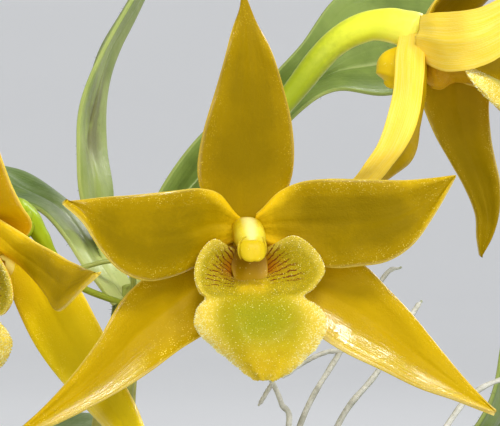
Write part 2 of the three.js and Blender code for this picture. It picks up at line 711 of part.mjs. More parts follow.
function chipSolid(random) {
  const [length, width, height] = [8 + 7 * random(), 5 + 4 * random(), 3.5 + 2.5 * random()];
  const corners = [];
  for (const x of [-1, 1]) {
    for (const y of [-1, 1]) {
      for (const z of [-1, 1]) {
        corners.push(
          new THREE.Vector3(
            (x * length * (0.8 + 0.35 * random())) / 2,
            (y * width * (0.7 + 0.5 * random())) / 2,
            (z * height * (0.7 + 0.5 * random())) / 2,
          ),
        );
      }
    }
  }
  const faces = [
    [0, 1, 3], [0, 3, 2], [4, 6, 7], [4, 7, 5], [0, 4, 5], [0, 5, 1],
    [2, 3, 7], [2, 7, 6], [0, 2, 6], [0, 6, 4], [1, 5, 7], [1, 7, 3],
  ];
  const turn = new THREE.Euler(0.9 * (random() - 0.5), 0.9 * (random() - 0.5), 2 * Math.PI * random());
  corners.forEach((corner) => corner.applyEuler(turn));
  return [corners, faces];
}

function barkSolid(cutters) {
  const random = randomFrom(7);
  let bark = potFilling(MEDIUM_TOP);
  for (let i = 0; i < CHIP_COUNT; i++) {
    const r = 39 * Math.sqrt((i + 0.5) / CHIP_COUNT);
    const angle = i * 2.39996 + 0.5 * random();
    const [corners, faces] = chipSolid(random);
    const height = MEDIUM_TOP + 0.4 + 2.4 * random();
    const place = new THREE.Vector3(r * Math.cos(angle), r * Math.sin(angle), height);
    bark = bark.add(closedSolid(corners.map((corner) => corner.add(place)), faces));
  }
  const bounded = bark.intersect(potFilling(POT_HEIGHT));
  return cut(bounded, cutters);
}

// Assembly

const root = new THREE.Group();

function material(name) {
  const [color, roughness] = COLOURS[name];
  return new THREE.MeshStandardMaterial({ color, roughness, metalness: 0 });
}

function addMesh(parent, name, solid, finish) {
  const mesh = new THREE.Mesh(geometryOf(solid), material(finish));
  mesh.name = name;
  parent.add(mesh);
}

addMesh(root, "pot", potSolid(), "clay");

const stemForms = Object.entries(STEMS).map(([name, stem]) => [name, stemForm(stem)]);
const grownStems = stemForms.map(([, form]) => tube(form, GAP));
const grownStem1 = grownStems[0];
const bractForm = { ...DRY_BRACT, radius: (u) => lerp(0.45, 0.32, u), sides: 5, rows: 6, up: [0, 1, 0] };
const bractSolid = tube(bractForm);
for (const [name, form] of stemForms) {
  const stem = tube(form);
  addMesh(root, name, name === "pseudobulb_1" ? stem.add(bractSolid) : stem, "pseudobulb");
}

addMesh(root, "rhizome_and_roots", cut(rootsSolid(), grownStems), "root");
addMesh(root, "bark", barkSolid([...grownStems, rootsSolid(GAP)]), "bark");

const grownPedicels = [];
for (const [name, flower] of Object.entries(FLOWERS)) {
  const form = pedicelForm(flower);
  addMesh(root, name + "_ovary_and_pedicel", cut(tube(form), [grownStem1]), "pedicel");
  grownPedicels.push(tube(form, GAP));
}

const leafSurfaces = [
  ...Object.entries(RAILED_LEAVES).map(([name, form]) => [name, railedSurface(form)]),
  ...Object.entries(LEAVES).map(([name, form]) => [name, bladeSurface({ shape: LEAF_SHAPE, ...form })]),
];
const laidLeaves = [];
for (const [name, surface] of leafSurfaces) {
  const leaf = slab(surface, 9, 4, LEAF_THICKNESS);
  addMesh(root, name, cut(leaf, [...grownStems, ...grownPedicels, ...laidLeaves]), "leaf");
  laidLeaves.push(slab(surface, 9, 4, LEAF_THICKNESS, GAP));
}

function addFlower(name, flower, grownPedicel) {
  const frame = turned(flower);
  const group = new THREE.Group();
  frame.decompose(group.position, group.quaternion, group.scale);
  root.add(group);

  const ovary = grownPedicel.transform(frame.clone().invert().toArray());
  const column = (grow) => tube(COLUMN, grow).add(tube(FOOT, grow));
  const lip = (grow) => slab(lipSurface(flower.lipPitch), 12, 6, 0.8, grow);
  const anther = (grow) => tube(ANTHER, grow);
  const cutters = [ovary];
  const place = (part, make, finish) => {
    addMesh(group, name + "_" + part, cut(make(0), cutters), finish);
    cutters.push(make(GAP));
  };
  place("column", column, "column");
  place("anther_cap", anther, "anther");
  place("lip", lip, "lip");
  const { dorsal_sepal, petal, lateral_sepal, left_lateral_sepal = lateral_sepal } = flower.tepals;
  const tepal = (form, mirror = form.mirror) => (grow) => blade({ ...form, mirror }, { grow });
  place("right_petal", tepal(petal, false), "petal");
  place("left_petal", tepal(petal, true), "petal");
  place("dorsal_sepal", tepal(dorsal_sepal), "sepal");
  place("right_lateral_sepal", tepal(lateral_sepal, false), "sepal");
  place("left_lateral_sepal", tepal(left_lateral_sepal, true), "sepal");
}

Object.entries(FLOWERS).forEach(([name, flower], i) => addFlower(name, flower, grownPedicels[i]));

export default root;
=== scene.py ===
# Potted Dendrobium trigonopus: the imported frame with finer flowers, leaves, stems, roots, bark and pot.
# Lengths in the tables below are millimetres, in the frame's own axes; pieces are made in metres.
import math
from itertools import product

import bpy
import numpy as np
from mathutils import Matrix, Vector


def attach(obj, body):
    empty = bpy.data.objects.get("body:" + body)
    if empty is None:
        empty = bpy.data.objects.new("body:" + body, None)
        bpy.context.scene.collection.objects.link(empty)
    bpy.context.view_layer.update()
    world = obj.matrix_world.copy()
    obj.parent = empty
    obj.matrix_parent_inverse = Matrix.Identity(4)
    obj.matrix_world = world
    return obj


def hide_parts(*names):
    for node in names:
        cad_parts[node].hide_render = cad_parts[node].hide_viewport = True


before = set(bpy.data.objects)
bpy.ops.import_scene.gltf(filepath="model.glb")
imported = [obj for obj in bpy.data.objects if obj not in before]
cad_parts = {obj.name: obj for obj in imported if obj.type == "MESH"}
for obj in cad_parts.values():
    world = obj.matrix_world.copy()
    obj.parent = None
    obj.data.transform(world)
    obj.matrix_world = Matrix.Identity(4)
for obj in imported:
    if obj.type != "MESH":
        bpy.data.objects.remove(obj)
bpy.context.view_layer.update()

MM = 0.001

# Camera: level, close to the middle flower

IMAGE_WIDTH = 500
PIXELS_PER_MM = 7.8
CAMERA_DISTANCE = 300
SENSOR = 36
MIDDLE_FLOWER = (0.007, -0.024, 0.135)  # in metres

camera_data = bpy.data.cameras.new("camera")
camera_data.sensor_width = SENSOR
camera_data.lens = SENSOR * CAMERA_DISTANCE / (IMAGE_WIDTH / PIXELS_PER_MM)
camera_data.clip_start = 0.01
camera_data.clip_end = 30
camera = bpy.data.objects.new("camera", camera_data)
camera.location = (MIDDLE_FLOWER[0], MIDDLE_FLOWER[1] - CAMERA_DISTANCE * MM, MIDDLE_FLOWER[2])
camera.rotation_euler = (math.pi / 2, 0, 0)
bpy.context.scene.collection.objects.link(camera)
bpy.context.scene.camera = camera
bpy.context.scene.view_settings.view_transform = "Standard"


# Curves, surfaces and meshes

RUN_ON = -0.1  # where a curve's parameter may begin, a little before its first point


def curve(points, t):
    """The points of a smooth curve through the listed ones, at even steps of its parameter."""
    listed = np.asarray(points, float)
    last = len(listed) - 1
    x = np.clip(t, RUN_ON, 1) * last
    i = np.clip(np.floor(x).astype(int), 0, last - 1)
    w = (x - i)[..., None]
    padded = np.vstack([2 * listed[0] - listed[1], listed, 2 * listed[-1] - listed[-2]])
    p0, p1, p2, p3 = (padded[i + k] for k in range(4))
    t0, t1 = (p2 - p0) / 2, (p3 - p1) / 2
    return p1 + t0 * w + (3 * (p2 - p1) - 2 * t0 - t1) * w**2 + (2 * (p1 - p2) + t0 + t1) * w**3


def unit(vectors):
    return vectors / np.maximum(np.linalg.norm(vectors, axis=-1, keepdims=True), 1e-12)


def tangent(points, t, apart=1e-4):
    return unit(curve(points, np.minimum(t + apart, 1)) - curve(points, np.maximum(t - apart, RUN_ON)))


def frame_along(spine, t, up):
    """A spine's direction at t and two directions square to it, the first of them square to up as well."""
    along = tangent(spine, t)
    across = unit(np.cross(np.broadcast_to(np.asarray(up, float), along.shape), along))
    return along, across, np.cross(along, across)


def eased(pairs, t):
    """The value at t of a list of [place, value] pairs, eased from each to the next."""
    places, values = np.array(pairs, float).T
    x = np.clip(t, places[0], places[-1])
    i = np.clip(np.searchsorted(places, x, side="right") - 1, 0, len(places) - 2)
    s = (x - places[i]) / (places[i + 1] - places[i])
    return values[i] + (values[i + 1] - values[i]) * s * s * (3 - 2 * s)


def step(low, high, x):
    s = np.clip((x - low) / (high - low), 0, 1)
    return s * s * (3 - 2 * s)


def crest(x, width):
    """A smooth crest: 1 where x is 0, and almost 0 beyond twice its width."""
    return np.exp(-((x / width) ** 2))


def ripple(points, size, seed, waves=7):
    """Smooth noise of about -1 to 1 over points, with swells of about this size."""
    random = np.random.default_rng(seed)
    total = np.zeros(np.shape(points)[:-1])
    for _ in range(waves):
        way = unit(random.normal(size=np.shape(points)[-1])) * random.uniform(0.6, 1.7) * 2 * math.pi / size
        total += np.sin(np.asarray(points) @ way + random.uniform(0, 2 * math.pi))
    return total / math.sqrt(waves)


def ripple_over(x, y, seed, size=1.0):
    return ripple(np.stack([x, y], -1), size, seed)


def circle(sides):
    """The angles of even steps once round."""
    return np.arange(sides) / sides * 2 * math.pi


def squared(angle, power):
    """The reach of a rounded square at each angle; it is a circle where power is 2."""
    return (np.abs(np.cos(angle)) ** power + np.abs(np.sin(angle)) ** power) ** (-1 / power)


def turns(x, y, z):
    """The turns about X, Y and Z by these angles."""
    cx, sx, cy, sy, cz, sz = (f(a) for a in (x, y, z) for f in (math.cos, math.sin))
    return (
        np.array([[1, 0, 0], [0, cx, -sx], [0, sx, cx]]),
        np.array([[cy, 0, sy], [0, 1, 0], [-sy, 0, cy]]),
        np.array([[cz, -sz, 0], [sz, cz, 0], [0, 0, 1]]),
    )


class Form:
    """Parts of one piece, gathered as arrays and made into one mesh."""

    def __init__(self):
        self.points, self.quads, self.triangles, self.data, self.count = [], [], [], {}, 0

    def add(self, points, quads=(), triangles=(), **data):
        points = np.asarray(points, float).reshape(-1, 3)
        if len(quads):
            self.quads.append(np.asarray(quads).reshape(-1, 4) + self.count)
        if len(triangles):
            self.triangles.append(np.asarray(triangles).reshape(-1, 3) + self.count)
        for name, values in data.items():
            values = np.broadcast_to(np.asarray(values, float), (len(points), 3))
            self.data.setdefault(name, []).append((self.count, values))
        self.points.append(points)
        self.count += len(points)

    def take(self, body, turn=None, blade=None):
        """Adds a shell or a tube, turned if asked, with its own places on the blade or with others."""
        points = turn(body["points"]) if turn else body["points"]
        self.add(points, body["quads"], body.get("triangles", ()), blade=body["blade"] if blade is None else blade)

    def repeat(self, points, quads, triangles, **data):
        """Adds small parts of one pattern: points has a row for each part, and the faces are those of one part."""
        parts, count, _ = points.shape
        start = (np.arange(parts) * count)[:, None, None]
        data = {name: np.repeat(values, count, 0) for name, values in data.items()}
        self.add(points, quads + start, triangles + start, **data)

    def piece(self, name, material, slot_name, *replaced):
        points = np.concatenate(self.points) * MM
        quads = np.concatenate(self.quads)
        triangles = np.concatenate(self.triangles) if self.triangles else np.zeros((0, 3), int)
        mesh = bpy.data.meshes.new(name)
        mesh.vertices.add(len(points))
        mesh.vertices.foreach_set("co", points.ravel())
        loops = np.concatenate([quads.ravel(), triangles.ravel()])
        mesh.loops.add(len(loops))
        mesh.loops.foreach_set("vertex_index", loops)
        starts = np.concatenate([np.arange(len(quads)) * 4, 4 * len(quads) + np.arange(len(triangles)) * 3])
        mesh.polygons.add(len(starts))
        mesh.polygons.foreach_set("loop_start", starts)
        mesh.polygons.foreach_set("use_smooth", np.ones(len(starts), bool))
        mesh.update(calc_edges=True)
        mesh.validate()
        for key, runs in self.data.items():
            values = np.zeros((len(points), 3))
            for start, run in runs:
                values[start : start + len(run)] = run
            mesh.attributes.new(key, "FLOAT_VECTOR", "POINT").data.foreach_set("vector", values.ravel())
        mesh.materials.append(material)
        made = bpy.data.objects.new(name, mesh)
        bpy.context.scene.collection.objects.link(made)
        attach(made, "root")
        if replaced:
            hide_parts(*replaced)
        return made


def grid_quads(rows, columns, closed=False):
    """Quads of a grid of points, rows by columns of them, joined round across it if closed."""
    i, j = np.meshgrid(np.arange(rows - 1), np.arange(columns if closed else columns - 1), indexing="ij")
    k = (j + 1) % columns
    low, high = i * columns, (i + 1) * columns
    return np.stack([low + j, high + j, high + k, low + k], -1).reshape(-1, 4)


def end_fans(rows, sides):
    """Triangles that close a run of rings at its ends, round the two points that follow the rings."""
    j = np.arange(sides)
    k = (j + 1) % sides
    count, last = rows * sides, (rows - 1) * sides
    return np.concatenate([
        np.stack([np.full(sides, count), k, j], -1),
        np.stack([np.full(sides, count + 1), last + j, last + k], -1),
    ])


def lathe(profile, sides):
    """A profile of [radius, height] turned round Z: its points, rows by sides of them, and its quads."""
    profile = np.asarray(profile, float)
    angle = circle(sides)
    points = np.stack([
        profile[:, :1] * np.cos(angle), profile[:, :1] * np.sin(angle),
        np.broadcast_to(profile[:, 1:], (len(profile), sides)),
    ], -1)
    return points, grid_quads(len(profile), sides, closed=True)


def shell(surface, rows, columns, thickness, facing, front=None, back=None, *, edge, start=0):
    """A thin closed body about surface(u, v), u from start to 1 and v from -1 to 1.
    edge is how thick its margins are, as a share of thickness. front and back are reliefs over (u, v), on the side
    that looks towards facing and on the other. Gives the body, and the grid that it was made on."""
    u = np.linspace(start, 1, rows + 1)
    v = np.sin(np.linspace(-1, 1, columns + 1) * math.pi / 2)
    U, V = np.meshgrid(u, v, indexing="ij")
    middle = surface(U, V)
    normal = unit(np.cross(np.gradient(middle, axis=0), np.gradient(middle, axis=1)))
    turned = np.mean(normal @ np.asarray(facing, float)) < 0
    normal = -normal if turned else normal
    half = thickness / 2 * (edge + (1 - edge) * np.sqrt(1 - np.abs(V) ** 6))
    rise = front(U, V) if front else 0
    fall = back(U, V) if back else 0
    points = np.concatenate([
        (middle + normal * (half + rise)[..., None]).reshape(-1, 3),
        (middle - normal * (half + fall)[..., None]).reshape(-1, 3),
    ])
    grid = grid_quads(rows + 1, columns + 1)
    other = (rows + 1) * (columns + 1)
    at = np.arange(other).reshape(rows + 1, columns + 1)
    rim = np.concatenate([at[0, :-1], at[:-1, -1], at[-1, :0:-1], at[:0:-1, 0]])
    after = np.roll(rim, -1)
    wall = np.stack([rim, after, after + other, rim + other], -1)
    quads = np.concatenate([grid, grid[:, ::-1] + other, wall])
    if turned:
        quads = quads[:, ::-1]
    places = np.stack([U.ravel(), V.ravel(), np.ones(other)], -1)
    blade = np.concatenate([places, places * [1, 1, -1]])
    return dict(points=points, quads=quads, blade=blade), (middle, normal, half + rise, U, V)


def tube(spine, radius, sides, rows, up, blunt, section=None):
    """A closed tube along a spine. Its ends are rounded, blunt times as long as they are wide."""
    u = np.linspace(0, 1, rows + 1)
    along, across, out = frame_along(spine, u, up)
    centre = curve(spine, u)
    size = radius(u) * np.ones(rows + 1)
    tips = [math.radians(a) for a in (72, 48, 24)]
    def rounded_end(end, phis):
        way = along[end] * (1 if end else -1) * blunt * size[end]
        return [(centre[end] + way * math.sin(p), end, math.cos(p)) for p in phis]
    stations = rounded_end(0, tips) + [(centre[i], i, 1) for i in range(rows + 1)] + rounded_end(-1, tips[::-1])
    angle = circle(sides)
    rings = []
    for middle, i, share in stations:
        shape = section(angle, u[i]) if section else 1
        r = (size[i] * share * shape * np.ones(sides))[:, None]
        rings.append(middle + r * (np.cos(angle)[:, None] * across[i] + np.sin(angle)[:, None] * out[i]))
    count = len(rings)
    caps = [centre[0] - along[0] * blunt * size[0], centre[-1] + along[-1] * blunt * size[-1]]
    places = [u[i] for _, i, _ in stations]
    blade = np.concatenate([
        np.stack([np.repeat(places, sides), np.tile(angle / math.pi - 1, count), np.ones(count * sides)], -1),
        [[0, 0, 1], [1, 0, 1]],
    ])
    return dict(
        points=np.concatenate([*rings, caps]), quads=grid_quads(count, sides, closed=True),
        triangles=end_fans(count, sides), blade=blade,
    )


def scatter(middle, normal, weight, count, spacing, seed):
    """Random places on a grid of points, no two closer than spacing: positions, normals and grid places."""
    random = np.random.default_rng(seed)
    a, b, d = middle[:-1, :-1], middle[1:, :-1], middle[:-1, 1:]
    area = np.linalg.norm(np.cross(b - a, d - a), axis=-1) * weight[:-1, :-1]
    chance = (area / area.sum()).ravel()
    cells = random.choice(len(chance), size=count * 5, p=chance)
    i, j = np.unravel_index(cells, area.shape)
    s, t = random.uniform(size=(2, len(cells), 1))
    def between(grid):
        near = grid[i, j] * (1 - s) + grid[i + 1, j] * s
        far = grid[i, j + 1] * (1 - s) + grid[i + 1, j + 1] * s
        return near * (1 - t) + far * t
    places, ways = between(middle), unit(between(normal))
    room, kept = {}, []
    for n, p in enumerate(places):
        cx, cy, cz = cell = tuple((p // spacing).astype(int).tolist())
        near = [m for x, y, z in product((-1, 0, 1), repeat=3) for m in room.get((cx + x, cy + y, cz + z), ())]
        if all(((places[m] - p) ** 2).sum() > spacing**2 for m in near):
            room.setdefault(cell, []).append(n)
            kept.append(n)
            if len(kept) == count:
                break
    grid_place = np.stack([i[kept] + s[kept, 0], j[kept] + t[kept, 0]], -1)
    return places[kept], ways[kept], grid_place


def rings_about(ways, sides):
    """A ring of radius 1 square to each way, as points about its middle."""
    helper = np.where(np.abs(ways[:, :1]) < 0.8, [[1.0, 0, 0]], [[0, 1.0, 0]])
    across = unit(np.cross(ways, helper))
    other = np.cross(ways, across)
    angle = circle(sides)
    return np.cos(angle)[None, :, None] * across[:, None] + np.sin(angle)[None, :, None] * other[:, None]


def add_bumps(form, places, ways, radius, height, seed, zone, lean=0.25):
    """Small round-topped bumps of four sides that stand on the places."""
    sides = 4
    random = np.random.default_rng(seed)
    ring = rings_about(ways, sides)
    tip = unit(ways + lean * random.normal(size=ways.shape) * 0.5)
    radius, height = (np.broadcast_to(x, len(places))[:, None, None] for x in (radius, height))
    base = places[:, None] - 0.15 * height * ways[:, None]
    low = base + ring * radius
    high = places[:, None] + 0.62 * height * tip[:, None] + ring * radius * 0.72
    top = places[:, None] + height * tip[:, None]
    j = np.arange(sides)
    k = (j + 1) % sides
    quads = np.stack([j, k, sides + k, sides + j], -1)
    triangles = np.stack([sides + j, sides + k, np.full(sides, 2 * sides)], -1)
    form.repeat(np.concatenate([low, high, top], 1), quads, triangles, zone=zone)


def add_hairs(form, skin, normal, weight, count, spacing, length, radius, place_seed, bend_seed):
    """Fine tapering hairs of three sides in two joints, scattered over a skin."""
    places, ways, _ = scatter(skin, normal, weight, count, spacing, place_seed)
    random = np.random.default_rng(bend_seed)
    first = unit(ways + 0.3 * random.normal(size=ways.shape))
    second = unit(first + 0.4 * random.normal(size=ways.shape))
    ring = rings_about(ways, 3)
    length = (length * random.uniform(0.6, 1.3, len(places)))[:, None, None]
    low = places[:, None] - 0.05 * ways[:, None] + ring * radius
    knee = places[:, None] + 0.5 * length * first[:, None]
    middle = knee + ring * radius * 0.7
    top = knee + 0.5 * length * second[:, None]
    quads = np.array([[0, 1, 4, 3], [1, 2, 5, 4], [2, 0, 3, 5]])
    triangles = np.array([[3, 4, 6], [4, 5, 6], [5, 3, 6]])
    form.repeat(np.concatenate([low, middle, top], 1), quads, triangles)


# Materials

def linear(shade):
    """A colour from its three 0 to 255 display values. A socket, or a colour of four values, is left as it is."""
    if isinstance(shade, bpy.types.NodeSocket) or len(shade) == 4:
        return shade
    return (*(((x / 255 + 0.055) / 1.055) ** 2.4 if x > 10 else x / 255 / 12.92 for x in shade), 1)


class Finish:
    """A material's nodes, joined by value. flesh is its subsurface weight, radius and scale."""

    def __init__(self, name, flesh=(), **constants):
        self.material = bpy.data.materials.new(name)
        self.material.use_nodes = True
        self.tree = self.material.node_tree
        self.surface = self.tree.nodes["Principled BSDF"]
        constants.update(zip(("Subsurface_Weight", "Subsurface_Radius", "Subsurface_Scale"), flesh))
        for key, value in constants.items():
            self.surface.inputs[key.replace("_", " ")].default_value = value

    def join(self, value, socket):
        if isinstance(value, bpy.types.NodeSocket):
            self.tree.links.new(value, socket)
        else:
            socket.default_value = value

    def node(self, kind, values, output=0, **settings):
        made = self.tree.nodes.new(kind)
        for key, value in settings.items():
            setattr(made, key, value)
        for key, value in values.items():
            self.join(value, made.inputs[key])
        return made.outputs[output]

    def attribute(self, name):
        return self.split(self.node("ShaderNodeAttribute", {}, "Vector", attribute_name=name))

    def split(self, vector):
        made = self.tree.nodes.new("ShaderNodeSeparateXYZ")
        self.join(vector, made.inputs[0])
        return tuple(made.outputs)

    def vector(self, x, y, z):
        return self.node("ShaderNodeCombineXYZ", {0: x, 1: y, 2: z})

    def place(self):
        """Where a point is, in millimetres."""
        where = self.node("ShaderNodeTexCoord", {}, "Object")
        return self.node("ShaderNodeVectorMath", {0: where, 3: 1 / MM}, operation="SCALE")

    def math(self, operation, a, b=0.0, clamp=False):
        return self.node("ShaderNodeMath", {0: a, 1: b}, operation=operation, use_clamp=clamp)

    def total(self, first, *others):
        for value in others:
            first = self.math("ADD", first, value)
        return first

    def times(self, first, *others):
        for value in others:
            first = self.math("MULTIPLY", first, value)
        return first

    def fit(self, value, low, high, start=0.0, end=1.0):
        values = {0: value, 1: low, 2: high, 3: start, 4: end}
        return self.node("ShaderNodeMapRange", values, interpolation_type="SMOOTHSTEP")

    def varied(self, noise, start=0.0, end=1.0):
        """From start to end by the usual range of a noise."""
        return self.fit(noise, 0.3, 0.7, start, end)

    def by_face(self, face, back, front):
        """One value on a blade's back, where face is -1, and the other on its front, where it is 1."""
        return self.fit(face, -0.2, 0.2, back, front)

    def mix(self, share, a, b):
        return self.node("ShaderNodeMix", {0: share, 6: linear(a), 7: linear(b)}, 2, data_type="RGBA")

    def ramp(self, value, *stops):
        made = self.tree.nodes.new("ShaderNodeValToRGB")
        made.color_ramp.interpolation = "EASE"
        elements = made.color_ramp.elements
        while len(elements) < len(stops):
            elements.new(0.5)
        for element, (place, shade) in zip(elements, stops):
            element.position = place
            element.color = linear(shade)
        self.join(value, made.inputs[0])
        return made.outputs[0]

    def noise(self, vector, scale, detail=2.0, roughness=0.5):
        values = {"Vector": vector, "Scale": scale, "Detail": detail, "Roughness": roughness}
        return self.node("ShaderNodeTexNoise", values)

    def streaks(self, blade, along, across, detail, roughness=0.6):
        """Noise drawn out along a blade; along and across are how many times it varies either way."""
        u, v, face = blade
        return self.noise(self.vector(self.times(u, along), self.times(v, across), face), 1.0, detail, roughness)

    def cells(self, vector, scale):
        return self.node("ShaderNodeTexVoronoi", {"Vector": vector, "Scale": scale}, "Distance")

    def stripes(self, across, count, wander, sway):
        """A wave across a blade that wanders by a noise."""
        return self.math("SINE", self.total(self.times(across, count), self.times(wander, sway)))

    def bumps(self, *layers):
        """A normal from layers of (height, depth in millimetres, strength), each over the one before."""
        normal = {}
        for height, depth, strength in layers:
            values = {"Height": height, "Distance": depth * MM, "Strength": strength, **normal}
            normal = {"Normal": self.node("ShaderNodeBump", values)}
        return normal["Normal"]

    def finish(self, base, roughness=None, normal=None):
        self.join(base, self.surface.inputs["Base Color"])
        if roughness is not None:
            self.join(roughness, self.surface.inputs["Roughness"])
        if normal is not None:
            self.join(normal, self.surface.inputs["Normal"])
        return self.material


# The backs' pale lemon is partly their own paler colour and partly painted light for the lit backs of flower 2's near
# tepals
LEMON = (252, 218, 66)
RIM = (255, 228, 96)


def wax(name, shade, body, bright, gloss, rim=RIM, back=LEMON, low=0.0, start=0.0):
    """Waxy tissue of a sepal or petal: fine cells, faint veins, a thin bright rim and glassy grains by the margins,
    their specks painted pale as glints.
    The margins and tip are partly painted brighter as light. low is how much more the lower margin shines and is
    painted pale where it glints, and start is where along the blade that begins."""
    f = Finish(
        name, (0.06, (1.0, 0.7, 0.02), 0.0008), Coat_Roughness=0.08, Coat_IOR=2.2, Specular_IOR_Level=0.05,
    )
    u, v, face = blade = f.attribute("blade")
    p = f.place()
    spread = f.math("ABSOLUTE", v)
    patches = f.noise(p, 0.16)
    grain = f.noise(p, 1.7, 3.0, 0.6)
    # Darker in the middle and lighter towards the margins, tip and base: partly the tissue's own tone and partly
    # painted light, the margins and tip brighter where light catches them
    tone = f.total(
        f.fit(spread, 0.35, 1.0, 0.0, 0.34), f.fit(u, 0.62, 1.0, 0.0, 0.42), f.fit(u, 0.34, 0.04, 0.0, 0.6),
        f.varied(patches, 0.0, 0.22), f.varied(grain, -0.03, 0.03),
    )
    tint = f.ramp(tone, (0.05, shade), (0.4, body), (0.95, bright))
    wander = f.noise(f.vector(f.times(u, 4.0), v, 0.0), 1.2, 1.0)
    veins = f.times(f.fit(f.stripes(v, 31.0, wander, 3.0), 0.2, 1.0), f.fit(spread, 0.9, 0.6))
    tint = f.mix(f.times(veins, 0.04), tint, shade)
    # Glassy grains, close by the margins and the tip, with their specks painted pale as glints
    close = f.total(
        f.fit(spread, 0.5, 1.0, 0.0, 0.7), f.fit(u, 0.72, 1.0, 0.0, 0.7), f.fit(v, 0.1, -0.9, 0.0, 0.5 * low),
    )
    glint_specks = f.times(f.fit(f.cells(p, 4.0), 0.34, 0.18), f.fit(f.noise(p, 1.1, 3.0, 0.7), 0.44, 0.56))
    glint_specks = f.math("MULTIPLY", glint_specks, close, clamp=True)
    glint_margin = f.times(f.fit(v, -0.34, -0.68, 0.0, low), f.fit(u, start, start + 0.1))
    lines = f.streaks(blade, 2.5, 34.0, 2.0)
    if low:
        # Painted highlight: the lower margin painted pale lemon in streaks where the lamps glint on it
        tint = f.mix(f.times(glint_margin, f.fit(lines, 0.4, 0.56, 0.0, 0.35)), tint, (246, 226, 104))
    # Painted glints: the specks mixed towards the pale rim colour
    tint = f.mix(f.times(glint_specks, 0.8), tint, rim)
    tint = f.mix(f.fit(spread, 0.96, 1.0, 0.0, 0.45), tint, rim)
    under = f.mix(f.fit(lines, 0.42, 0.6, 0.0, 0.4), back, (255, 236, 146))
    tint = f.mix(f.by_face(face, 0.9, 0.0), tint, under)
    # A wet coat, broken up by its own ripples
    long = f.streaks(blade, 5.0, 16.0, 3.0)
    ripples = f.streaks(blade, 60.0, 8.0, 2.0)
    wet = f.total(long, f.times(lines, 0.6), f.times(ripples, 0.9))
    f.join(f.bumps((glint_specks, 0.03, 1.0), (wet, 0.06, 0.9)), f.surface.inputs["Coat Normal"])
    broken = f.times(f.fit(long, 0.34, 0.46), f.fit(lines, 0.44, 0.52))
    shine = f.total(
        f.times(f.total(glint_margin, f.times(close, 0.03)), broken, gloss), f.times(glint_specks, 0.3),
        f.fit(spread, 0.92, 0.98, 0.0, 0.4 + 0.4 * low),
    )
    if start:
        shine = f.times(shine, f.fit(u, start - 0.06, start, 0.04, 1.0))
    f.join(f.math("MULTIPLY", shine, f.by_face(face, 0.2, 1.0), clamp=True), f.surface.inputs["Coat Weight"])
    rough = f.total(f.varied(grain, 0.36, 0.46), f.by_face(face, 0.1, 0.0))
    return f.finish(tint, rough, f.bumps((f.cells(p, 4.2), 0.03, 0.8), (grain, 0.06, 0.6), (long, 0.05, 0.5)))


def lip_finish(name):
    """The lip's skin: golden, green in the middle of its mid-lobe and lined with dark red by its throat."""
    f = Finish(
        name, (0.12, (1.0, 0.8, 0.05), 0.0007), Coat_Weight=0.04, Coat_Roughness=0.2, Specular_IOR_Level=0.12,
    )
    green, pale, _ = f.attribute("zone")
    way, reach, side = f.attribute("fan")
    face = f.attribute("blade")[2]
    p = f.place()
    grain = f.noise(p, 2.4, 3.0, 0.6)
    patches = f.noise(p, 0.5)
    body = f.mix(f.varied(patches), (194, 162, 2), (210, 178, 8))
    lobes = f.mix(f.varied(grain), (156, 139, 0), (174, 152, 2))
    tint = f.mix(side, body, lobes)
    tint = f.mix(f.times(green, f.fit(patches, 0.2, 0.7, 0.85, 1.0)), tint, (146, 146, 0))
    tint = f.mix(f.times(pale, 0.9), tint, (244, 218, 76))
    tint = f.mix(f.by_face(face, 0.8, 0.0), tint, (224, 168, 16))
    # Pale grains in the skin itself, painted pale as glints
    cells = f.cells(p, 5.2)
    glint_specks = f.fit(cells, 0.36, 0.2)
    some = f.total(f.noise(p, 2.1, 2.0, 0.7), f.times(pale, 0.14), f.times(green, -0.1))
    grains = f.times(glint_specks, f.fit(some, 0.5, 0.6), f.fit(pale, 0.0, 0.8, 0.25, 0.95))
    tint = f.mix(grains, tint, (255, 246, 156))
    # Orange by the throat and broken dark red lines that spread from it
    inside = f.times(side, f.by_face(face, 0.1, 1.0))
    glow = f.times(f.fit(reach, 6.6, 3.6), f.fit(way, 0.3, 0.7), inside)
    tint = f.mix(f.times(glow, 0.8), tint, (190, 106, 8))
    lines = f.fit(f.stripes(way, 58.0, f.noise(p, 0.8, 3.0), 9.0), 0.45, 0.8)
    broken = f.fit(f.streaks((reach, way, 0.0), 1.1, 8.0, 2.0, 0.7), 0.36, 0.46)
    where = f.times(
        f.fit(reach, 7.4, 6.0), f.fit(reach, 2.0, 2.6), inside, f.fit(way, 0.1, 0.22), f.fit(way, 1.5, 1.25),
    )
    tint = f.mix(f.times(lines, broken, where, 0.95), tint, (112, 44, 6))
    fine = f.bumps((cells, 0.08, 0.9), (glint_specks, 0.06, 0.8), (grain, 0.1, 0.6))
    return f.finish(tint, f.varied(grain, 0.42, 0.56), fine)


def papilla_finish(name):
    f = Finish(
        name, (0.15, (1.0, 0.85, 0.1), 0.0003),
        Coat_Weight=0.7, Coat_Roughness=0.05, Roughness=0.25, Specular_IOR_Level=0.4,
    )
    # The third zone value is the share of a papilla painted pale at its tip: a painted glint
    green, pale, tip = f.attribute("zone")
    tint = f.mix(f.fit(f.noise(f.place(), 3.0, 1.0), 0.35, 0.65), (206, 178, 6), (220, 192, 20))
    tint = f.mix(f.times(green, 0.8), tint, (160, 160, 4))
    tint = f.mix(pale, tint, (246, 220, 80))
    return f.finish(f.mix(f.fit(tip, 0.0, 0.8), tint, f.mix(pale, (253, 244, 156), (255, 250, 190))))


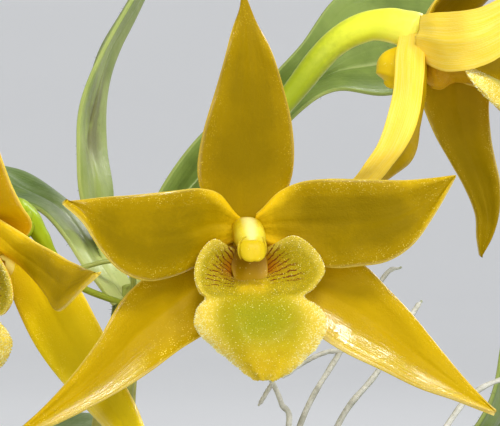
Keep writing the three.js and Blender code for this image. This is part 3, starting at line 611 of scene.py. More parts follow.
def column_finish(name, body, tip, base, back, painted_highlight=0.7):
    """Flesh of a column or an anther, with a painted highlight down the front between flanks painted darker as shade;
    the last argument is how strong they are.
    """
    f = Finish(
        name, (0.25, (1.0, 0.8, 0.12), 0.001), Coat_Weight=0.06, Coat_Roughness=0.25, Specular_IOR_Level=0.08,
    )
    u, v, face = f.attribute("blade")
    p = f.place()
    grain = f.noise(p, 1.8, 3.0)
    tint = f.ramp(f.total(u, f.varied(grain, -0.08, 0.08)), (0.0, base), (0.4, body), (0.8, tip))
    # The throat's hollow, whose face is -1, is dark gold and darkest under the anther: partly its own golden brown
    # and partly painted shade under the column
    tint = f.mix(f.fit(face, 0.2, -0.2), tint, f.mix(f.fit(u, 0.4, 0.95), back, (178, 140, 0)))
    # Painted highlight down the front of the column, and painted shade on the flanks beside it
    highlight_offset = f.math("ABSOLUTE", f.total(v, 0.5))
    along = f.times(f.fit(u, 0.1, 0.4), f.fit(face, 0.9, 1.0))
    tint = f.mix(f.times(f.fit(highlight_offset, 0.2, 0.02, 0.0, painted_highlight), along), tint, (255, 250, 168))
    tint = f.mix(f.times(f.fit(highlight_offset, 0.24, 0.5, 0.0, painted_highlight), along), tint, base)
    # Pale specks: painted glints
    glint_specks = f.times(f.fit(f.cells(p, 3.6), 0.3, 0.16), f.fit(f.noise(p, 1.3, 2.0, 0.7), 0.54, 0.62))
    tint = f.mix(f.times(glint_specks, 0.5), tint, (255, 246, 150))
    return f.finish(tint, f.varied(grain, 0.32, 0.42), f.bumps((f.cells(p, 5.0), 0.02, 0.6)))


def stalk_finish(name, middle, end):
    """Three-angled ovary and its stalk: green at the stem, bright yellow-green towards the flower, its palest yellow
    there partly painted light.
    """
    f = Finish(
        name, (0.25, (1.0, 0.9, 0.15), 0.0012), Coat_Weight=0.12, Coat_Roughness=0.2, Specular_IOR_Level=0.25,
    )
    u, v, _ = f.attribute("blade")
    p = f.place()
    grain = f.noise(p, 1.2, 3.0)
    tone = f.total(u, f.varied(grain, -0.02, 0.02))
    tint = f.ramp(tone, (0.0, (142, 154, 56)), (0.4, (158, 174, 24)), (0.72, middle), (1.0, end))
    ribs = f.math("SINE", f.times(v, 6 * math.pi))
    tint = f.mix(f.fit(ribs, 0.2, 1.0, 0.0, 0.08), tint, (140, 156, 24))
    return f.finish(tint, f.varied(grain, 0.3, 0.42), f.bumps((f.cells(p, 4.0), 0.02, 0.6), (grain, 0.03, 0.5)))


def leaf_finish(name, upper, upper_dark, under, vein, brown_blotches=0.0, base=0.24):
    """Leathery blade with close lengthwise veins, paler and duller beneath.
    Its blotch strength is how strong the darker brown blotches across its middle are, and base is where its pale foot
    ends."""
    f = Finish(
        name, (0.08, (0.5, 1.0, 0.15), 0.0012), Coat_Weight=0.06, Coat_Roughness=0.28, Specular_IOR_Level=0.3,
    )
    u, v, face = blade = f.attribute("blade")
    p = f.place()
    spread = f.math("ABSOLUTE", v)
    patches = f.noise(p, 0.12, 4.0, 0.6)
    grain = f.noise(p, 1.1, 3.0, 0.6)
    tint = f.mix(f.fit(patches, 0.35, 0.65), upper, upper_dark)
    tint = f.mix(f.by_face(face, 0.85, 0.0), tint, under)
    wander = f.streaks(blade, 9.0, 2.0, 1.0, 0.5)
    close, coarse = f.stripes(v, 62.0, wander, 3.0), f.stripes(v, 21.0, wander, 2.0)
    veins = f.total(f.fit(close, 0.3, 1.0, 0.0, 0.4), f.fit(coarse, 0.7, 1.0, 0.0, 0.6))
    tint = f.mix(f.times(veins, 0.08), tint, vein)
    tint = f.mix(f.fit(spread, 0.06, 0.0, 0.0, 0.6), tint, vein)
    tint = f.mix(f.fit(spread, 0.97, 1.0, 0.0, 0.3), tint, (176, 186, 104))
    tint = f.mix(f.fit(u, base, 0.04, 0.0, 0.85), tint, (204, 214, 140))
    if brown_blotches:
        blotch = f.times(f.fit(f.streaks(blade, 9.0, 1.6, 3.0), 0.36, 0.6), f.fit(spread, 0.9, 0.3))
        blotch = f.times(blotch, f.fit(u, 0.28, 0.4), f.fit(u, 0.64, 0.48))
        tint = f.mix(f.times(blotch, brown_blotches), tint, (96, 92, 44))
    specks = f.fit(f.cells(p, 0.55), 0.10, 0.04, 0.0, 0.5)
    tint = f.mix(f.times(specks, f.fit(grain, 0.45, 0.6)), tint, (74, 70, 34))
    rough = f.total(f.varied(grain, 0.38, 0.52), f.by_face(face, 0.12, 0.0))
    return f.finish(tint, rough, f.bumps((veins, 0.03, 0.7), (f.cells(p, 3.4), 0.025, 0.7), (patches, 0.5, 0.5)))


def stem_finish(name):
    f = Finish(name, (0.06, (0.8, 1.0, 0.2), 0.001), Coat_Weight=0.2, Coat_Roughness=0.25)
    u, v, _ = f.attribute("blade")
    p = f.place()
    patches = f.noise(p, 0.16, 4.0, 0.6)
    grain = f.noise(p, 1.4, 3.0, 0.6)
    tint = f.ramp(patches, (0.3, (122, 126, 46)), (0.5, (160, 158, 62)), (0.7, (186, 170, 78)))
    tint = f.mix(f.fit(u, 0.72, 0.95, 0.0, 0.85), tint, (164, 178, 88))
    grooves = f.math("SINE", f.times(v, 11 * math.pi))
    tint = f.mix(f.fit(grooves, 0.0, -1.0, 0.0, 0.4), tint, (104, 108, 34))
    rust = f.fit(f.noise(p, 0.5, 5.0, 0.7), 0.58, 0.72)
    tint = f.mix(f.times(rust, 0.55), tint, (116, 84, 40))
    return f.finish(tint, f.varied(grain, 0.4, 0.6), f.bumps((grain, 0.12, 0.7), (f.cells(p, 2.6), 0.03, 0.6)))


def sheath_finish(name):
    """Dry papery sheath with long fibres."""
    f = Finish(name, (0.1, (1.0, 0.9, 0.6), 0.0008))
    blade = f.attribute("blade")
    fibres = f.streaks(blade, 1.2, 34.0, 4.0)
    patches = f.noise(f.place(), 0.2, 4.0, 0.6)
    tint = f.ramp(fibres, (0.3, (124, 112, 84)), (0.55, (176, 168, 140)), (0.75, (206, 200, 178)))
    tint = f.mix(f.fit(patches, 0.42, 0.62, 0.0, 0.6), tint, (112, 92, 62))
    tint = f.mix(f.fit(blade[0], 0.82, 1.0, 0.0, 0.55), tint, (84, 68, 48))
    return f.finish(tint, f.varied(patches, 0.6, 0.8), f.bumps((fibres, 0.14, 0.9)))


def root_finish(name):
    """The roots' grey spongy skin; the blade's third value is how green they are."""
    f = Finish(name, (0.04, (1.0, 1.0, 0.9), 0.0006))
    tip = f.attribute("blade")[2]
    p = f.place()
    patches = f.noise(p, 0.35, 4.0, 0.6)
    grain = f.noise(p, 3.2, 3.0, 0.7)
    tint = f.ramp(patches, (0.3, (164, 164, 150)), (0.52, (204, 204, 194)), (0.7, (228, 228, 220)))
    tint = f.mix(f.fit(grain, 0.5, 0.72, 0.0, 0.45), tint, (136, 132, 116))
    tint = f.mix(f.times(tip, 0.6), tint, (138, 152, 76))
    return f.finish(tint, f.varied(grain, 0.62, 0.85), f.bumps((grain, 0.09, 0.9), (f.cells(p, 3.0), 0.04, 0.7)))


def bark_finish(name):
    """Layered bark, with its layers close together over a chip's own height."""
    f = Finish(name)
    p = f.place()
    one, two, three = f.attribute("chip")
    layers = f.noise(f.vector(f.times(one, 0.12), f.times(two, 0.4), f.times(three, 2.2)), 1.6, 5.0, 0.65)
    patches = f.noise(p, 0.25, 4.0, 0.6)
    tint = f.ramp(layers, (0.3, (52, 32, 22)), (0.48, (104, 66, 44)), (0.62, (146, 98, 64)), (0.78, (182, 138, 98)))
    tint = f.mix(f.fit(patches, 0.4, 0.65, 0.0, 0.7), tint, (82, 54, 40))
    moss = f.times(f.fit(f.noise(p, 0.11, 4.0, 0.7), 0.55, 0.66), f.fit(f.noise(p, 2.0), 0.45, 0.6))
    tint = f.mix(f.times(moss, 0.6), tint, (96, 110, 44))
    crumbs = f.noise(p, 3.0, 4.0, 0.7)
    return f.finish(tint, f.varied(layers, 0.75, 0.92), f.bumps((layers, 0.5, 0.9), (crumbs, 0.12, 0.8)))


def clay_finish(name):
    """Unglazed terracotta with lime bloom, a damp foot and a little algae under the rim."""
    f = Finish(name)
    p = f.place()
    z = f.split(p)[2]
    patches = f.noise(p, 0.045, 5.0, 0.6)
    grain = f.noise(p, 1.2, 4.0, 0.7)
    tint = f.ramp(patches, (0.3, (164, 84, 56)), (0.5, (186, 102, 70)), (0.7, (202, 122, 88)))
    tint = f.mix(f.fit(grain, 0.35, 0.7, 0.0, 0.3), tint, (216, 148, 112))
    bloom = f.total(f.noise(p, 0.07, 6.0, 0.68), f.fit(z, 58.0, 70.0, 0.0, 0.1), f.fit(z, 14.0, 0.0, 0.0, 0.12))
    tint = f.mix(f.fit(bloom, 0.52, 0.74, 0.0, 0.75), tint, (224, 204, 186))
    damp = f.total(f.noise(p, 0.09, 5.0, 0.6), f.fit(z, 30.0, 0.0, 0.0, 0.3))
    tint = f.mix(f.fit(damp, 0.58, 0.8, 0.0, 0.45), tint, (122, 66, 46))
    algae = f.times(f.fit(f.noise(p, 0.12, 5.0, 0.7), 0.5, 0.68), f.fit(z, 40.0, 56.0))
    tint = f.mix(f.times(algae, 0.3), tint, (118, 112, 66))
    rings = f.noise(f.vector(0.0, 0.0, z), 0.9, 4.0, 0.6)
    pits = f.fit(f.cells(p, 0.9), 0.16, 0.04)
    fine = f.bumps((rings, 0.35, 0.6), (grain, 0.16, 0.8), (pits, -0.15, 0.8))
    return f.finish(tint, f.varied(grain, 0.8, 0.94), fine)


def hair_finish(name):
    f = Finish(name)
    shade = linear((34, 26, 20))
    grain = f.noise(f.place(), 1.5, 3.0)
    tint = f.mix(f.varied(grain, 0.0, 0.35), shade, (*(0.55 * c for c in shade[:3]), 1))
    return f.finish(tint, f.varied(grain, 0.49, 0.61), f.bumps((grain, 0.02, 0.5)))


# Wax brightness is partly painted light: a darker dorsal, lighter laterals, lighter copies for flower 3's shaded
# tepals, and a darker copy as painted shade for flower 2's far lateral sepal
SEPAL = wax("dorsal_wax", (134, 109, 0), (149, 121, 0), (178, 146, 6), 0.4, (226, 190, 40))
GOLD_PAINTED_LIGHT = wax("golden_wax_painted_light", (204, 158, 0), (214, 167, 0), (226, 180, 8), 0.4)
PETAL = wax("petal_wax", (134, 110, 0), (158, 129, 0), (230, 190, 18), 0.5)
PETAL_PAINTED_LIGHT = wax("petal_wax_painted_light", (164, 134, 0), (190, 155, 2), (236, 196, 20), 0.5)
LATERAL = wax("lateral_wax", (180, 147, 0), (190, 156, 2), (208, 169, 6), 1.0, low=1.0)
LATERAL_LEFT = wax("left_lateral_wax", (172, 140, 0), (184, 151, 2), (206, 167, 6), 1.0, low=1.0, start=0.48)
LATERAL_PAINTED_LIGHT = wax("lateral_wax_painted_light", (208, 180, 10), (220, 192, 16), (228, 200, 24), 1.0, low=1.0, start=0.5)
FAR_PAINTED_SHADE = wax("far_wax_painted_shade", (148, 121, 0), (163, 133, 2), (187, 153, 8), 0.4, back=(208, 176, 16))
LIP = lip_finish("lip_surface")
PAPILLA = papilla_finish("lip_papillae")
COLUMN = column_finish("column_flesh", (208, 178, 8), (232, 210, 56), (196, 160, 6), (142, 104, 0))
COLUMN_PALE = column_finish("pale_column_flesh", (238, 206, 26), (240, 216, 60), (240, 204, 30), (206, 166, 8))
ANTHER = column_finish("anther_flesh", (194, 166, 8), (210, 182, 24), (240, 226, 124), (196, 160, 4), 0.0)
STALK = stalk_finish("ovary_and_stalk", (238, 243, 66), (253, 246, 96))
STALK_GREEN = stalk_finish("ovary_and_stalk_green", (158, 184, 26), (172, 188, 34))
LEAF = leaf_finish("leaf_blade", (124, 144, 68), (100, 120, 52), (146, 160, 94), (172, 184, 118))
LEAF_LIGHT = leaf_finish(
    "leaf_blade_light", (144, 158, 82), (124, 140, 66), (150, 164, 94), (178, 188, 124), brown_blotches=0.8,
)
LEAF_BENT = leaf_finish(
    "leaf_blade_pale_base", (98, 122, 44), (78, 102, 32), (130, 148, 78), (144, 160, 86), base=0.48,
)
STEM = stem_finish("pseudobulb_skin")
SHEATH = sheath_finish("dry_sheath")
HAIR = hair_finish("black_hair")
ROOT = root_finish("velamen")
BARK = bark_finish("fir_bark")
CLAY = clay_finish("terracotta")

# Flowers. Each is modelled facing -Y with its column at the origin, x to the viewer's right, then turned.

TEPAL_FINISHES = {
    "dorsal_sepal": SEPAL, "right_petal": PETAL, "left_petal": PETAL, "right_lateral_sepal": LATERAL,
    "left_lateral_sepal": LATERAL_LEFT,
}
# Pieces with a finish of their own: the lighter waxes of flower 3 are painted light, and the darker wax of flower 2's
# far lateral sepal is painted shade
OWN_FINISHES = {
    "flower_3_dorsal_sepal": GOLD_PAINTED_LIGHT, "flower_3_right_petal": PETAL_PAINTED_LIGHT, "flower_2_right_lateral_sepal": FAR_PAINTED_SHADE,
    "flower_3_right_lateral_sepal": LATERAL_PAINTED_LIGHT, "flower_2_column": COLUMN_PALE, "flower_3_stalk": STALK_GREEN,
}

# Tepals with a spine, in their flower's own axes
SPINED_TEPALS = {
    "flower_1_dorsal_sepal": dict(
        spine=[
            [0, 2.4, 0.4], [0.2, 1.8, 6.4], [0.8, 0.4, 12.8], [1.2, -0.8, 19.2], [1.2, -1.2, 25.7], [1.2, -0.2, 32.4],
        ],
        side=[[1, 0, 0], [1, 0, 0]], half=6.2, shape=(0.3, 0.3, 1.7, 1.25), cup=-0.12,
    ),
    "flower_2_dorsal_sepal": dict(
        spine=[[0, 2.4, 0.4], [0, 0.8, 4.1], [0, -3.2, 9.6], [0, -7.4, 15.4], [0, -11.8, 21.4], [0, -16, 27.2]],
        side=[[1, 0, 0], [1, 0, 0]], half=6.2, shape=(0.3, 0.3, 1.7, 1.25), cup=-0.3,
    ),
    "flower_2_right_petal": dict(
        spine=[[2.4, 0.9, 1], [4.6, -2.4, 0], [6.2, -6.6, 1], [7.8, -12.3, 4.2], [8.5, -19.4, 10.4]],
        side=[[0.16, 0.43, 0.88], [0.16, 0.43, 0.88]], half=5.7, shape=(0.4, 0.46, 2, 1), cup=0.2,
    ),
    "flower_3_left_petal": dict(
        spine=[[2.5, 1, 1.5], [8, -1.2, 1.1], [13.5, -3.9, 0.4], [20, -6.5, 1.3], [26.8, -8.7, 4.8]],
        side=[[0, 0, 1], [0, 0, 1]], half=5.7, shape=(0.4, 0.46, 2, 1), cup=0.14, mirror=True,
    ),
    "flower_3_left_lateral_sepal": dict(
        spine=[[1.9, 3.2, -2.2], [8.2, 1, -6.7], [15.4, -0.8, -12.4], [23.2, -2.4, -18.7], [31, -3.8, -24.2]],
        side=[[0.62, 0.1, 0.78], [0.6, 0.3, 0.76]], half=6, shape=(0.45, 0.26, 1.6, 1), cup=0.08, fold=0.14,
        mirror=True,
    ),
}

# The others follow both edges and the middle between, in the frame's own millimetres.
RAILED_TEPALS = {
    "flower_1_left_petal": (
        [[5.2, -23.7, 131.5], [2.5, -25.3, 129.8], [0.1, -27, 128.1], [-2.8, -28.6, 126.9], [-5.9, -31.1, 126.5],
         [-8.9, -33.3, 127.8], [-11.5, -35.2, 130.8], [-13.5, -36.5, 134], [-15.7, -37.4, 136.3]],
        [[5.2, -23.5, 133.3], [2.8, -25, 133.6], [0.4, -26.6, 133.1], [-2.5, -28.3, 132.3], [-5.4, -30.2, 132],
         [-8.4, -32.1, 132.5], [-11.1, -33.9, 133.9], [-13.5, -35.6, 135.4], [-15.7, -37.3, 136.4]],
        [[5.2, -23.8, 135.1], [3.2, -25.6, 137.4], [0.7, -27.3, 138.1], [-2.1, -29.3, 137.8], [-4.9, -30.5, 137.5],
         [-7.9, -32, 137.2], [-10.6, -33.6, 137], [-13.5, -35.3, 136.7], [-15.8, -37.3, 136.5]],
    ),
    "flower_1_right_petal": (
        [[8.5, -22.9, 131.5], [11.5, -23.6, 129.9], [14.4, -24.4, 128.7], [17.6, -25.2, 128], [20.9, -26.4, 128.3],
         [24.4, -27.3, 129], [27.7, -28, 131.2], [30.6, -28.3, 135.3], [33, -28.4, 139.5]],
        [[8.5, -22.6, 133.5], [11.1, -23.2, 133.8], [14, -23.8, 133.8], [17.1, -24.6, 133.7], [20.3, -25.5, 133.8],
         [23.7, -26.4, 134.1], [27, -27.1, 135.2], [30.2, -27.8, 137.3], [33, -28.4, 139.7]],
        [[8.5, -23, 135.5], [10.7, -23.7, 137.7], [13.5, -24.6, 138.9], [16.6, -25.6, 139.3], [19.7, -26.2, 139.3],
         [23, -26.8, 139.2], [26.3, -27.4, 139.1], [29.8, -27.9, 139.4], [33, -28.4, 139.8]],
    ),
    "flower_1_left_lateral_sepal": (
        [[5.4, -21.7, 126.9], [4.2, -23.8, 123.2], [2, -25.7, 120.3], [-1.9, -27.3, 117.8], [-5.6, -28.7, 115.1],
         [-9.5, -30, 112.6], [-13.3, -31.2, 110.6], [-17.6, -32.1, 108.6], [-22.6, -33, 106.8]],
        [[4.4, -21.2, 129.2], [1.9, -22.8, 126.8], [-0.9, -24.4, 124.5], [-4.5, -25.9, 121.9], [-7.6, -27.3, 119.2],
         [-10.7, -28.8, 115.8], [-14.2, -30.2, 112.7], [-18.3, -31.6, 109.6], [-22.7, -32.9, 106.9]],
        [[3.4, -21.7, 131.5], [-0.3, -23.7, 130.5], [-3.7, -25.4, 128.7], [-7, -26.8, 126.1], [-9.4, -28, 123.5],
         [-11.9, -29.2, 119], [-15.1, -30.4, 114.8], [-19, -31.6, 110.6], [-22.9, -32.9, 107.1]],
    ),
    "flower_1_right_lateral_sepal": (
        [[8.6, -21.6, 126.3], [10.9, -23.1, 123.2], [14.1, -24, 120.5], [17.6, -24.2, 118.2], [21.6, -24.2, 116],
         [25.7, -24, 114.1], [30.1, -23.6, 112.1], [34.4, -22.9, 110.6], [38.6, -22.3, 109.2]],
        [[8.9, -20.5, 128.9], [12.3, -21.1, 126.9], [16, -21.6, 124.9], [19.7, -21.9, 123.2], [23.3, -22, 120.6],
         [26.9, -22.2, 117.9], [30.9, -22.2, 114.8], [34.8, -22.2, 111.9], [38.7, -22.1, 109.3]],
        [[9.3, -20.5, 131.5], [13.7, -20.9, 130.7], [18, -21.3, 129.4], [21.7, -21.5, 128.3], [24.8, -21.6, 125.3],
         [28.1, -21.7, 121.8], [31.5, -21.9, 117.6], [35.1, -22, 113.3], [38.7, -22.1, 109.5]],
    ),
    "flower_2_left_lateral_sepal": (
        [[27.2, -7, 158.2], [26.6, -10.1, 155.5], [26.2, -13.1, 152.7], [25.8, -16.2, 149.9], [24.9, -18.1, 146.9],
         [23.6, -18.7, 143.7], [21.9, -18, 141.3], [20.3, -16.4, 139.3], [18.4, -15, 137.5]],
        [[30.4, -8, 158.4], [29.9, -11, 155.5], [29.6, -14, 152.6], [29.1, -17, 149.6], [28.1, -18.8, 146.3],
         [26.8, -19.3, 143.5], [25.3, -18.5, 141.5], [23.1, -16.8, 139.2], [18.5, -15, 137.4]],
        [[30.9, -3, 158.5], [30.5, -6.3, 155.5], [30.1, -9.7, 152.3], [29.6, -13, 149], [29.2, -15.3, 145.7],
         [28.2, -16.2, 142.8], [26.9, -16, 140.8], [23.9, -15, 138.8], [18.6, -15, 137.2]],
    ),
    "flower_2_right_lateral_sepal": (
        [[30.2, -4.4, 155.6], [30.3, -4.5, 152.1], [31.1, -3.9, 148.8], [32.7, -2.7, 145.3], [34.8, -0.5, 141.9],
         [37.1, 1.7, 138.2], [38.7, 4.1, 134.7], [39, 6.1, 131.5], [39.6, 7.9, 128.9]],
        [[34.4, -3.4, 155.4], [35.1, -2.8, 152.2], [35.5, -2.1, 148.9], [36.5, -1.2, 145.3], [38, 0.5, 141.9],
         [39.5, 2.6, 138.2], [40.4, 4.8, 134.7], [40.2, 6.6, 131.5], [39.8, 8, 128.9]],
        [[38.5, -3.4, 155.1], [39.8, -2.9, 152.2], [39.8, -2.4, 148.9], [40.2, -1.7, 145.3], [41, -0.1, 141.9],
         [41.9, 2.2, 138.2], [42, 4.7, 134.7], [41.3, 6.6, 131.5], [39.9, 8, 128.9]],
    ),
    "flower_2_left_petal": (
        [[30.1, -9, 155.7], [31.4, -11.4, 154.6], [33, -13.7, 153.9], [34.9, -15.6, 153.9], [37, -16.5, 154.3],
         [39.3, -17.1, 155.3], [42.6, -17.6, 157.9], [46.7, -18.3, 161.8], [50.5, -19.4, 165.9]],
        [[30.2, -10.4, 158.5], [31.5, -12.8, 158], [33.1, -15, 157.6], [35.1, -16.8, 157.6], [37.1, -17.6, 158],
         [39.4, -18, 159.1], [42.7, -18.4, 161.1], [46.5, -18.8, 163.7], [50.3, -19.4, 166]],
        [[30.6, -8.9, 161.6], [32, -11, 161.7], [33.6, -12.8, 161.6], [35.5, -14.8, 161.6], [37.6, -15.8, 162],
         [39.9, -16.5, 163], [42.9, -17.1, 164.5], [46.5, -17.9, 165.7], [50.2, -19.4, 166.2]],
    ),
    "flower_3_right_petal": (
        [[-27.3, -10.5, 130.6], [-25.2, -12.5, 129], [-23.2, -14.4, 127.5], [-21.3, -16.3, 125.8],
         [-19.5, -19.8, 124.1], [-17.9, -23.3, 122.4], [-15.8, -27.3, 124], [-13.8, -30.9, 125.9],
         [-12.1, -34, 127.4]],
        [[-27, -11.2, 132.4], [-24.6, -13.6, 130.8], [-22.3, -16, 129.3], [-20.1, -18.5, 127.9],
         [-18.2, -21.1, 126.5], [-16.6, -24, 125.4], [-14.8, -27.2, 125.9], [-13.3, -30.5, 126.8],
         [-12, -34, 127.5]],
        [[-26.6, -12.2, 134.2], [-24, -15.2, 132.6], [-21.4, -18.2, 131.2], [-18.9, -21.2, 130],
         [-16.9, -23.1, 129], [-15.2, -25.5, 128.4], [-13.8, -27.7, 127.9], [-12.7, -30.5, 127.7],
         [-12, -34, 127.6]],
    ),
    "flower_3_right_lateral_sepal": (
        [[-26.2, -7.1, 127.6], [-25.1, -8.9, 123.8], [-23.6, -10.8, 120.7], [-21.4, -13.1, 117.1],
         [-18.5, -15.4, 113.4], [-15, -17.7, 109.9], [-12, -20.1, 107.1], [-8.7, -22.4, 103.8],
         [-5.5, -24.7, 100.8]],
        [[-23, -8.1, 128.5], [-21.1, -10.4, 125.1], [-19.3, -12.7, 122.2], [-17.2, -14.8, 118.7],
         [-15.1, -16.9, 115.3], [-12.4, -18.9, 111.7], [-9.9, -20.8, 108.5], [-7.5, -22.8, 104.8],
         [-5.3, -24.7, 101]],
        [[-19.8, -10, 129.4], [-17.1, -13.5, 126.4], [-14.8, -16.4, 123.7], [-13, -18.4, 120.5],
         [-11.6, -20, 117.3], [-9.7, -21.3, 113.5], [-7.8, -22.5, 110], [-6.3, -23.7, 105.9], [-5, -24.9, 101.1]],
    ),
    "flower_3_dorsal_sepal": (
        [[-28.3, -7.4, 130.7], [-30.9, -7.5, 134.6], [-32.5, -8.7, 138.5], [-32.9, -10.8, 142],
         [-32.6, -13.1, 145.2], [-32, -15.4, 148.6], [-31.1, -17.6, 152.2], [-29.8, -19.4, 156],
         [-28.6, -20.7, 160]],
        [[-26.7, -8.3, 130.2], [-26.6, -9.8, 133.8], [-27.9, -11.5, 137.2], [-28.8, -13.7, 140.5],
         [-29.2, -15.7, 143.7], [-29.4, -17.5, 147.2], [-29.3, -19, 151], [-29, -20.1, 155.4],
         [-28.6, -20.8, 159.9]],
        [[-25, -9.6, 129.8], [-22.3, -12.8, 133], [-23.2, -15.4, 135.9], [-24.7, -17.5, 139.1],
         [-25.8, -19.2, 142.2], [-26.7, -20.4, 145.8], [-27.5, -20.9, 149.9], [-28.1, -20.9, 154.8],
         [-28.5, -21, 159.9]],
    ),
}
# Where the inner side of these looks, when it isn't the flower's front
FACING = {"flower_2_left_petal": (0, 1, 0), "flower_2_left_lateral_sepal": (0, 1, 0)}

# The lip's rows from its claw to its tip: the middle, both edges, and how far the halves between bow.
LIP_MIDDLE = [
    [0, 1.2, -5], [0, 0.6, -5.3], [0, -0.4, -5.5], [0, -1.4, -5.6], [-0.2, -2.4, -6],
    [-0.3, -3.3, -6.6], [-0.4, -4.1, -7.3], [-0.3, -5.2, -8.5], [-0.2, -6.8, -10.4], [-0.2, -8.1, -12.6],
    [-0.2, -8.9, -14.8], [-0.2, -9.1, -16.3], [-0.1, -8.8, -17.2],
]
LIP_LEFT = [
    [-1.6, 1.2, -1.2], [-2.3, -0.6, -0.75], [-4.64, -2.4, 0.38], [-6.66, -3.3, -1.21], [-7.59, -3.9, -3.79],
    [-7.16, -4.1, -5.96], [-6.34, -4.2, -7.01], [-7.49, -4.2, -8.33], [-7.77, -4.4, -10.58], [-5.88, -5, -12.93],
    [-3.52, -6.2, -15.02], [-2.26, -7.4, -16.34], [-0.94, -8.3, -17.05],
]
LIP_RIGHT = [
    [2.1, 1.2, -1.3], [3, -0.6, -0.85], [5.71, -2.4, 0.27], [8.16, -3.3, -1.64], [9.14, -3.9, -4.24],
    [7.61, -4.1, -6.44], [6.11, -4.2, -7.49], [7.98, -4.2, -9], [8.82, -4.4, -10.7], [7.58, -5, -13.39],
    [5.17, -6.2, -15.32], [3.07, -7.4, -16.68], [0.83, -8.3, -17.17],
]
LIP_BOW = [
    [1, 0.6, -0.6], [1.1, 0.5, -1], [0.9, 0.6, -1.1], [0.6, 0.3, -0.8], [0.4, 0, -0.5],
    [0.2, -0.1, -0.2], [0, -0.2, 0], [0, -0.3, 0], [0, -0.3, 0], [0, -0.2, 0],
    [0, -0.1, 0], [0, 0, 0], [0, 0, 0],
]

# Each flower's place and its turns in degrees, the same of its lip, how many papillae it has, how fine its grids are,
# and the girth and spine of its stalk, whose last points are ends where they aren't the flower's own
FLOWERS = {
    "flower_1": dict(
        place=[6.6, -24, 131.5], yaw=10, pitch=0, roll=3, lip_pitch=0, papillae=9400, detail=1,
        girth=[[0, 0.8], [0.35, 0.95], [0.62, 1.4], [0.86, 1.95], [1, 1.85]],
        pedicel=[[-9.4, 0.2, 118], [-7.6, -2.8, 123.6], [-3.8, -6.2, 130.8], [0.8, -10.4, 136.6], [4.6, -15.4, 138]],
    ),
    "flower_2": dict(
        place=[32.4, -6, 158.6], yaw=70, pitch=12, roll=-10, lip_pitch=42, papillae=3000, detail=0.7,
        lip_shift=[1.8, -1.2, -1.8], ends=[[26, -3.7, 160.7], [28.4, -4.6, 160.1], [30, -5.2, 159.4]],
        girth=[[0, 1], [0.3, 1.3], [0.5, 1.8], [0.7, 2.05], [0.85, 2.4], [0.96, 2.7], [1, 2.4]],
        pedicel=[
            [-8.8, 1.8, 116], [-3.6, 0.4, 127], [2, -0.8, 137], [7.6, -1, 145], [12.6, -0.8, 151.2],
            [16.9, -1.2, 156.6], [19.9, -1.8, 159.2], [23.2, -2.8, 160.6],
        ],
    ),
    "flower_3": dict(
        place=[-28.2, -10, 129.4], yaw=-40, pitch=15, roll=-10, lip_pitch=0, papillae=3000, detail=0.7,
        lip_shift=[-0.8, 0, 0.9],
        girth=[[0, 0.45], [0.3, 0.5], [0.42, 0.8], [0.55, 1.15], [0.7, 1.7], [0.85, 2.15], [1, 2]],
        pedicel=[
            [-9.4, 0.9, 122], [-12, -0.6, 123], [-16.2, -2, 124.8], [-18.9, -3.5, 127.4], [-20.4, -4.4, 129.9],
            [-21.6, -4.8, 132], [-23, -5.2, 134], [-24.6, -5.8, 135.2],
        ],
    ),
}
FRONT = (0, -1, 0)
TEPAL_THICKNESS = 0.74
LIP_THICKNESS = 0.75
PAPILLA_SPACING = 0.16
LIP_HINGE = np.array([0, 1.5, -5])
# The fringe of the mid-lobe and of the side lobes: where along the lip it starts and ends, how many papillae a side,
# their radius, height and seed, how pale they are, and the share with a tip painted pale as a glint
FRINGES = [(0.49, 1, 210, 0.1, 0.3, 0, 0.9, 0.5), (0.14, 0.49, 110, 0.075, 0.17, 7, 0.7, 0.4)]
TIP_PAPILLAE = 26
LEAF_SHAPE = (0.42, 0.42, 2.4, 0.9)


def blade_shape(base, peak, bend, tip):
    """A blade's half width over its length, as a share of the widest, which is at peak."""
    def width(u):
        rise = base + (1 - base) * np.sin(math.pi / 2 * np.minimum(u / peak, 1))
        x = np.clip((u - peak) / (1 - peak), 0, 1)
        return np.where(u < peak, rise, np.maximum(0.05, (1 - x**bend) ** tip))
    return width


def blade_surface(spine, side, half, shape=LEAF_SHAPE, cup=0, fold=0, mirror=False, wave=0, seed=0):
    """The surface of a leaf, sepal or petal. wave lifts its margins here and there."""
    width = blade_shape(*shape)
    base, tip = np.asarray(side, float)
    def surface(u, v):
        along = tangent(spine, u)
        across = base * (1 - u)[..., None] + tip * u[..., None]
        across = unit(across - along * (across * along).sum(-1, keepdims=True))
        out = np.cross(along, across)
        w = half * width(u)
        lift = w * (cup * v * v + fold * (np.sqrt(v * v + 0.004) - 0.063))
        lift = lift + wave * np.abs(v) ** 2 * ripple_over(u * 3.2, np.sign(v) * 3 + 0 * u, seed)
        p = curve(spine, u) + across * (w * v)[..., None] + out * lift[..., None]
        return p * [-1, 1, 1] if mirror else p
    return surface


def bowl(v, fold):
    """How far the middle's own place counts across a blade: a fold at 1, a round hollow at 0."""
    return 1 - (1 - fold) * v * v - fold * (np.sqrt(v * v + 0.012) - 0.1095) / (math.sqrt(1.012) - 0.1095)


def on_rails(rails, u, v, fold):
    """Points between two edges, through the line between them."""
    a, m, b = (curve(rail, u) for rail in rails)
    across = v[..., None]
    return a * (1 - across) / 2 + b * (1 + across) / 2 + (m - (a + b) / 2) * bowl(v, fold)[..., None]


def railed_surface(rails, fold=0.5):
    return lambda u, v: on_rails(rails, u, v, fold)


